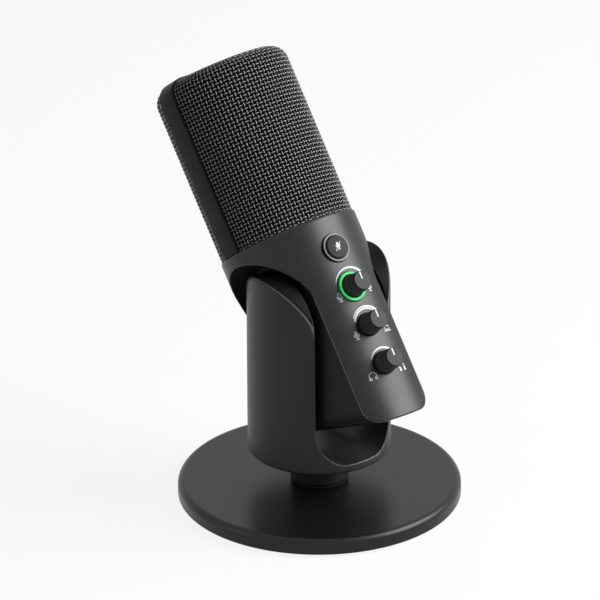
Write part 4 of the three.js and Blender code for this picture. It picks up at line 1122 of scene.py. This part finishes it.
# A line along the band, up one side, over the top and down the other.
def band_line(across, depth):
    middle = BAND_RADIUS - BAND_FILLET
    bend = BAND_TOP - BAND_FILLET
    side_x = math.sqrt((BAND_RADIUS - depth) ** 2 - across**2)
    heights = [*np.linspace(GRILLE_BOTTOM, bend - BAND_BEND_LEAD, BAND_SIDE_POINTS), bend]
    half = [(side_x, z) for z in heights]
    for i in range(1, BAND_BEND_STEPS + 1):
        angle = math.pi / 2 * i / BAND_BEND_STEPS
        reach = middle + (BAND_FILLET - depth) * math.cos(angle)
        level = bend + (BAND_FILLET - depth) * math.sin(angle)
        half.append((math.sqrt(reach**2 - across**2), level))
    top_x = math.sqrt(middle**2 - across**2)
    half += [(top_x * share, BAND_TOP - depth) for share in BAND_TOP_SHARES]
    whole = [(x, across, z) for x, z in half]
    whole.append((0.0, across, BAND_TOP - depth))
    return whole + [(-x, across, z) for x, z in reversed(half)]


# Band of the grille and the ring that seats it in the collar
def make_band():
    half = BAND_HALF_WIDTH
    section = [
        (-half, 0, BAND_FRONT_EDGE),
        (half, 0, BAND_FRONT_EDGE),
        (half, BAND_THICKNESS, BAND_REAR_EDGE),
        (-half, BAND_THICKNESS, BAND_REAR_EDGE),
    ]
    lines = [band_line(*spot) for spot in rounded(section, steps=5, support=0.1, closed=True)]
    points = [spot for ring in zip(*lines) for spot in ring]
    band = points, tube_faces(len(lines[0]), len(lines))
    corners = [
        (RING_INNER, RING_BOTTOM, 0.2),
        (RING_OUTER, RING_BOTTOM, 0.2),
        (RING_OUTER, RING_TOP, 0.4),
        (RING_INNER, RING_TOP, 0.4),
    ]
    ring = turned(rounded(corners, steps=4, closed=True), around=128, closed=True)
    shape = joined(band, ring)
    piece("grille_band", *shape, "head", BAND_COAT, "frame_coat", ["grille_frame"])


# Points and normals of the woven surface at angles about the axis and heights along its profile,
# with the points lifted off it.
def weave_point(angle, height, lift):
    bend = np.clip((height - WEAVE_BEND) / WEAVE_FILLET, 0, math.pi / 2)
    straight = height <= WEAVE_BEND
    bent = WEAVE_FILLET + lift
    reach = np.where(straight, WEAVE_RADIUS + lift, WEAVE_MIDDLE + bent * np.cos(bend))
    level = np.where(straight, height, WEAVE_BEND + bent * np.sin(bend))
    out = np.cos(bend)
    point = np.stack([reach * np.cos(angle), reach * np.sin(angle), level], 1)
    normal = np.stack([out * np.cos(angle), out * np.sin(angle), np.sin(bend)], 1)
    return point, normal


def share_up(phase):
    return 0.5 + 0.5 * np.cos(phase)


# Uprights that bend over the shoulder, and the hoops woven through them
def side_wires(side, edge):
    span = math.pi - 2 * edge
    uprights = round(span * WEAVE_RADIUS / WIRE_PITCH)
    step = span / uprights
    low = GRILLE_BOTTOM + WIRE_HALF_WIDTH + WIRE_LEAD
    length = WEAVE_BEND + WEAVE_ARC - low
    hoops = round(length / WIRE_PITCH)
    rise = length / hoops
    paths = []
    heights = low + rise * np.arange(hoops * WIRE_SAMPLES + 1) / WIRE_SAMPLES
    for i in range(uprights):
        angle = edge + step * (i + 0.5)
        phase = np.pi * (heights - low) / rise + np.pi * i
        line = weave_point(side * angle + 0 * heights, heights, WIRE_WAVE * np.cos(phase))
        paths.append((*line, share_up(phase)))
    angles = edge + step * np.arange(uprights * WIRE_SAMPLES + 1) / WIRE_SAMPLES
    for j in range(hoops + 1):
        phase = np.pi * (angles - edge) / step + np.pi / 2 + np.pi * j
        height = low + rise * j + 0 * angles
        line = weave_point(side * angles, height, WIRE_WAVE * np.cos(phase))
        paths.append((*line, share_up(phase)))
    return paths


# A path on the flat top at x and y, one of them the same all along
def top_path(x, y, phase):
    line = np.stack(np.broadcast_arrays(x, y, WEAVE_TOP + WIRE_WAVE * np.cos(phase)), 1)
    return line, np.tile((0.0, 0.0, 1.0), (len(line), 1)), share_up(phase)


# Wires both ways on the flat top
def top_wires(side):
    near = BAND_HALF_WIDTH - BAND_LAP
    columns = int(WEAVE_MIDDLE / WIRE_PITCH)
    paths = []
    for i in range(-columns, columns + 1):
        x = i * WIRE_PITCH
        y = np.arange(near, math.sqrt(WEAVE_MIDDLE**2 - x**2), WIRE_PITCH / WIRE_SAMPLES)
        if len(y) < WIRE_SAMPLES:
            continue
        phase = np.pi * (y - near - WIRE_PITCH / 2) / WIRE_PITCH + np.pi * i
        paths.append(top_path(x, side * y, phase))
    for j in range(int((WEAVE_MIDDLE - near) / WIRE_PITCH)):
        y = near + WIRE_PITCH * (j + 0.5)
        x = np.arange(-columns * WIRE_SAMPLES, columns * WIRE_SAMPLES + 1)
        x = x * WIRE_PITCH / WIRE_SAMPLES
        x = x[np.hypot(x, y) <= WEAVE_MIDDLE]
        phase = np.pi * x / WIRE_PITCH + np.pi * (j + 1)
        paths.append(top_path(x, side * y, phase))
    return paths


# Half of the grille, with a round wire along the edge of its flat top
def make_weave(side, name):
    edge = math.asin((BAND_HALF_WIDTH + BAND_LAP) / WEAVE_RADIUS)
    paths = side_wires(side, edge) + top_wires(side)
    woven = wires(paths, WIRE_HALF_WIDTH, WIRE_HALF_THICKNESS, WIRE_SIDES)
    turn = np.linspace(edge, math.pi - edge, HEM_POINTS)
    x, y = WEAVE_MIDDLE * np.cos(turn), side * WEAVE_MIDDLE * np.sin(turn)
    half_up = np.full(HEM_POINTS, np.pi / 2)
    hem = wires([top_path(x, y, half_up)], HEM_RADIUS, HEM_RADIUS, HEM_SIDES)
    shape = joined(woven[:2], hem[:2])
    node = f"grille_{name}"
    made = piece(f"woven_{name}", *shape, "head", WIRE_COAT, "grille_wire", [node], sharp=0)
    # Tops of the weave are painted lighter and dips darker: painted highlight and shade
    store_relief(made.data, np.concatenate([woven[2], hem[2]]))


def make_foam():
    inner = FOAM_RADIUS - FOAM_THICKNESS
    ceiling = FOAM_TOP - FOAM_THICKNESS
    corners = [
        (0, ceiling, 0),
        (inner, ceiling, FOAM_FILLET - FOAM_THICKNESS),
        (inner, FOAM_BOTTOM, FOAM_EDGE),
        (FOAM_RADIUS, FOAM_BOTTOM, FOAM_EDGE),
        (FOAM_RADIUS, FOAM_TOP, FOAM_FILLET),
        (0, FOAM_TOP, 0),
    ]
    shape = turned(rounded(corners, steps=8))
    piece("foam", *shape, "head", FOAM, "foam", ["foam_liner"])


def make_camera():
    sin_a, cos_a = math.sin(CAMERA_AZIMUTH), math.cos(CAMERA_AZIMUTH)
    sin_e, cos_e = math.sin(CAMERA_ELEVATION), math.cos(CAMERA_ELEVATION)
    ahead = Vector((sin_a * cos_e, cos_a * cos_e, -sin_e))
    level = Vector((cos_a, -sin_a, 0.0))
    rising = Vector((sin_a * sin_e, cos_a * sin_e, cos_e))
    right = level * math.cos(CAMERA_ROLL) + rising * math.sin(CAMERA_ROLL)
    up = rising * math.cos(CAMERA_ROLL) - level * math.sin(CAMERA_ROLL)
    place = Vector((0.0, 0.0, CAMERA_AIM_HEIGHT)) - ahead * CAMERA_DISTANCE
    place += level * CAMERA_AIM_RIGHT + rising * CAMERA_AIM_UP
    data = bpy.data.cameras.new("camera")
    data.sensor_width = SENSOR
    data.lens = CAMERA_LENS_PIXELS / IMAGE_PIXELS * SENSOR
    data.clip_start, data.clip_end = CAMERA_CLIP
    camera = new_object("camera", data)
    turn = Matrix((right, up, -ahead)).transposed().to_4x4()
    camera.matrix_world = Matrix.Translation(place * MM) @ turn
    bpy.context.scene.camera = camera


def softbox(name, direction, distance, width, height, power):
    data = bpy.data.lights.new(name, "AREA")
    data.shape = "RECTANGLE"
    data.size = width
    data.size_y = height
    data.energy = power
    lamp = new_object(name, data)
    way = Vector(direction).normalized()
    lamp.location = Vector(LIGHT_AIM) + way * distance
    lamp.rotation_mode = "QUATERNION"
    lamp.rotation_quaternion = way.to_track_quat("Z", "Y")


def make_lights():
    softbox("key_right", (0.59, -0.57, 0.56), distance=1.1, width=0.9, height=0.75, power=22.0)
    softbox("fill_left", (-0.9, 0.3, 0.35), distance=1.3, width=0.4, height=0.9, power=1.4)


# 1 for rays from the camera, straight, reflected or let through, and 0 for those that light things
def seen(tree):
    path = new_node(tree, "ShaderNodeLightPath", {})
    found = path.outputs["Is Camera Ray"]
    for ray in ("Is Glossy Ray", "Is Transmission Ray"):
        inputs = {0: found, 1: path.outputs[ray]}
        found = new_node(tree, "ShaderNodeMath", inputs, operation="MAXIMUM").outputs[0]
    return found


def make_floor():
    made, tree, shader = new_material("floor_pale")
    matt = {"Base Color": FLOOR_COLOR, "Roughness": 0.9, "Specular IOR Level": 0.0}
    feed(tree, shader, matt)
    glow = new_node(tree, "ShaderNodeEmission", {"Color": WHITE, "Strength": 1.0})
    inputs = {0: seen(tree), 1: FLOOR_GLOW}
    share = new_node(tree, "ShaderNodeMath", inputs, operation="MULTIPLY")
    inputs = {0: share.outputs[0], 1: shader.outputs["BSDF"], 2: glow.outputs["Emission"]}
    mix = new_node(tree, "ShaderNodeMixShader", inputs)
    feed(tree, tree.nodes["Material Output"], {"Surface": mix.outputs["Shader"]})
    mesh = bpy.data.meshes.new("floor")
    build = bmesh.new()
    bmesh.ops.create_circle(build, cap_ends=True, segments=64, radius=FLOOR_RADIUS)
    build.to_mesh(mesh)
    build.free()
    mesh.materials.append(made)
    floor = new_object("floor", mesh)
    floor.location.z = FLOOR_LEVEL


def make_world():
    world = bpy.data.worlds.new("studio")
    world.use_nodes = True
    tree = world.node_tree
    level = spread(tree, seen(tree), ROOM_LIGHT, 1.0)
    feed(tree, tree.nodes["Background"], {"Color": WHITE, "Strength": level})
    bpy.context.scene.world = world


dress_solids()
make_base()
make_foot()
make_yoke()
make_housing()
make_rings()
make_button()
for knob_height, knob_name in zip(KNOB_HEIGHTS, KNOB_NAMES):
    make_knob(knob_height, knob_name)
make_marks()
make_button_mark()
make_band()
make_weave(-1, "front")
make_weave(1, "rear")
make_foam()
make_camera()
make_floor()
make_world()
make_lights()

bpy.context.scene.view_settings.view_transform = "Standard"
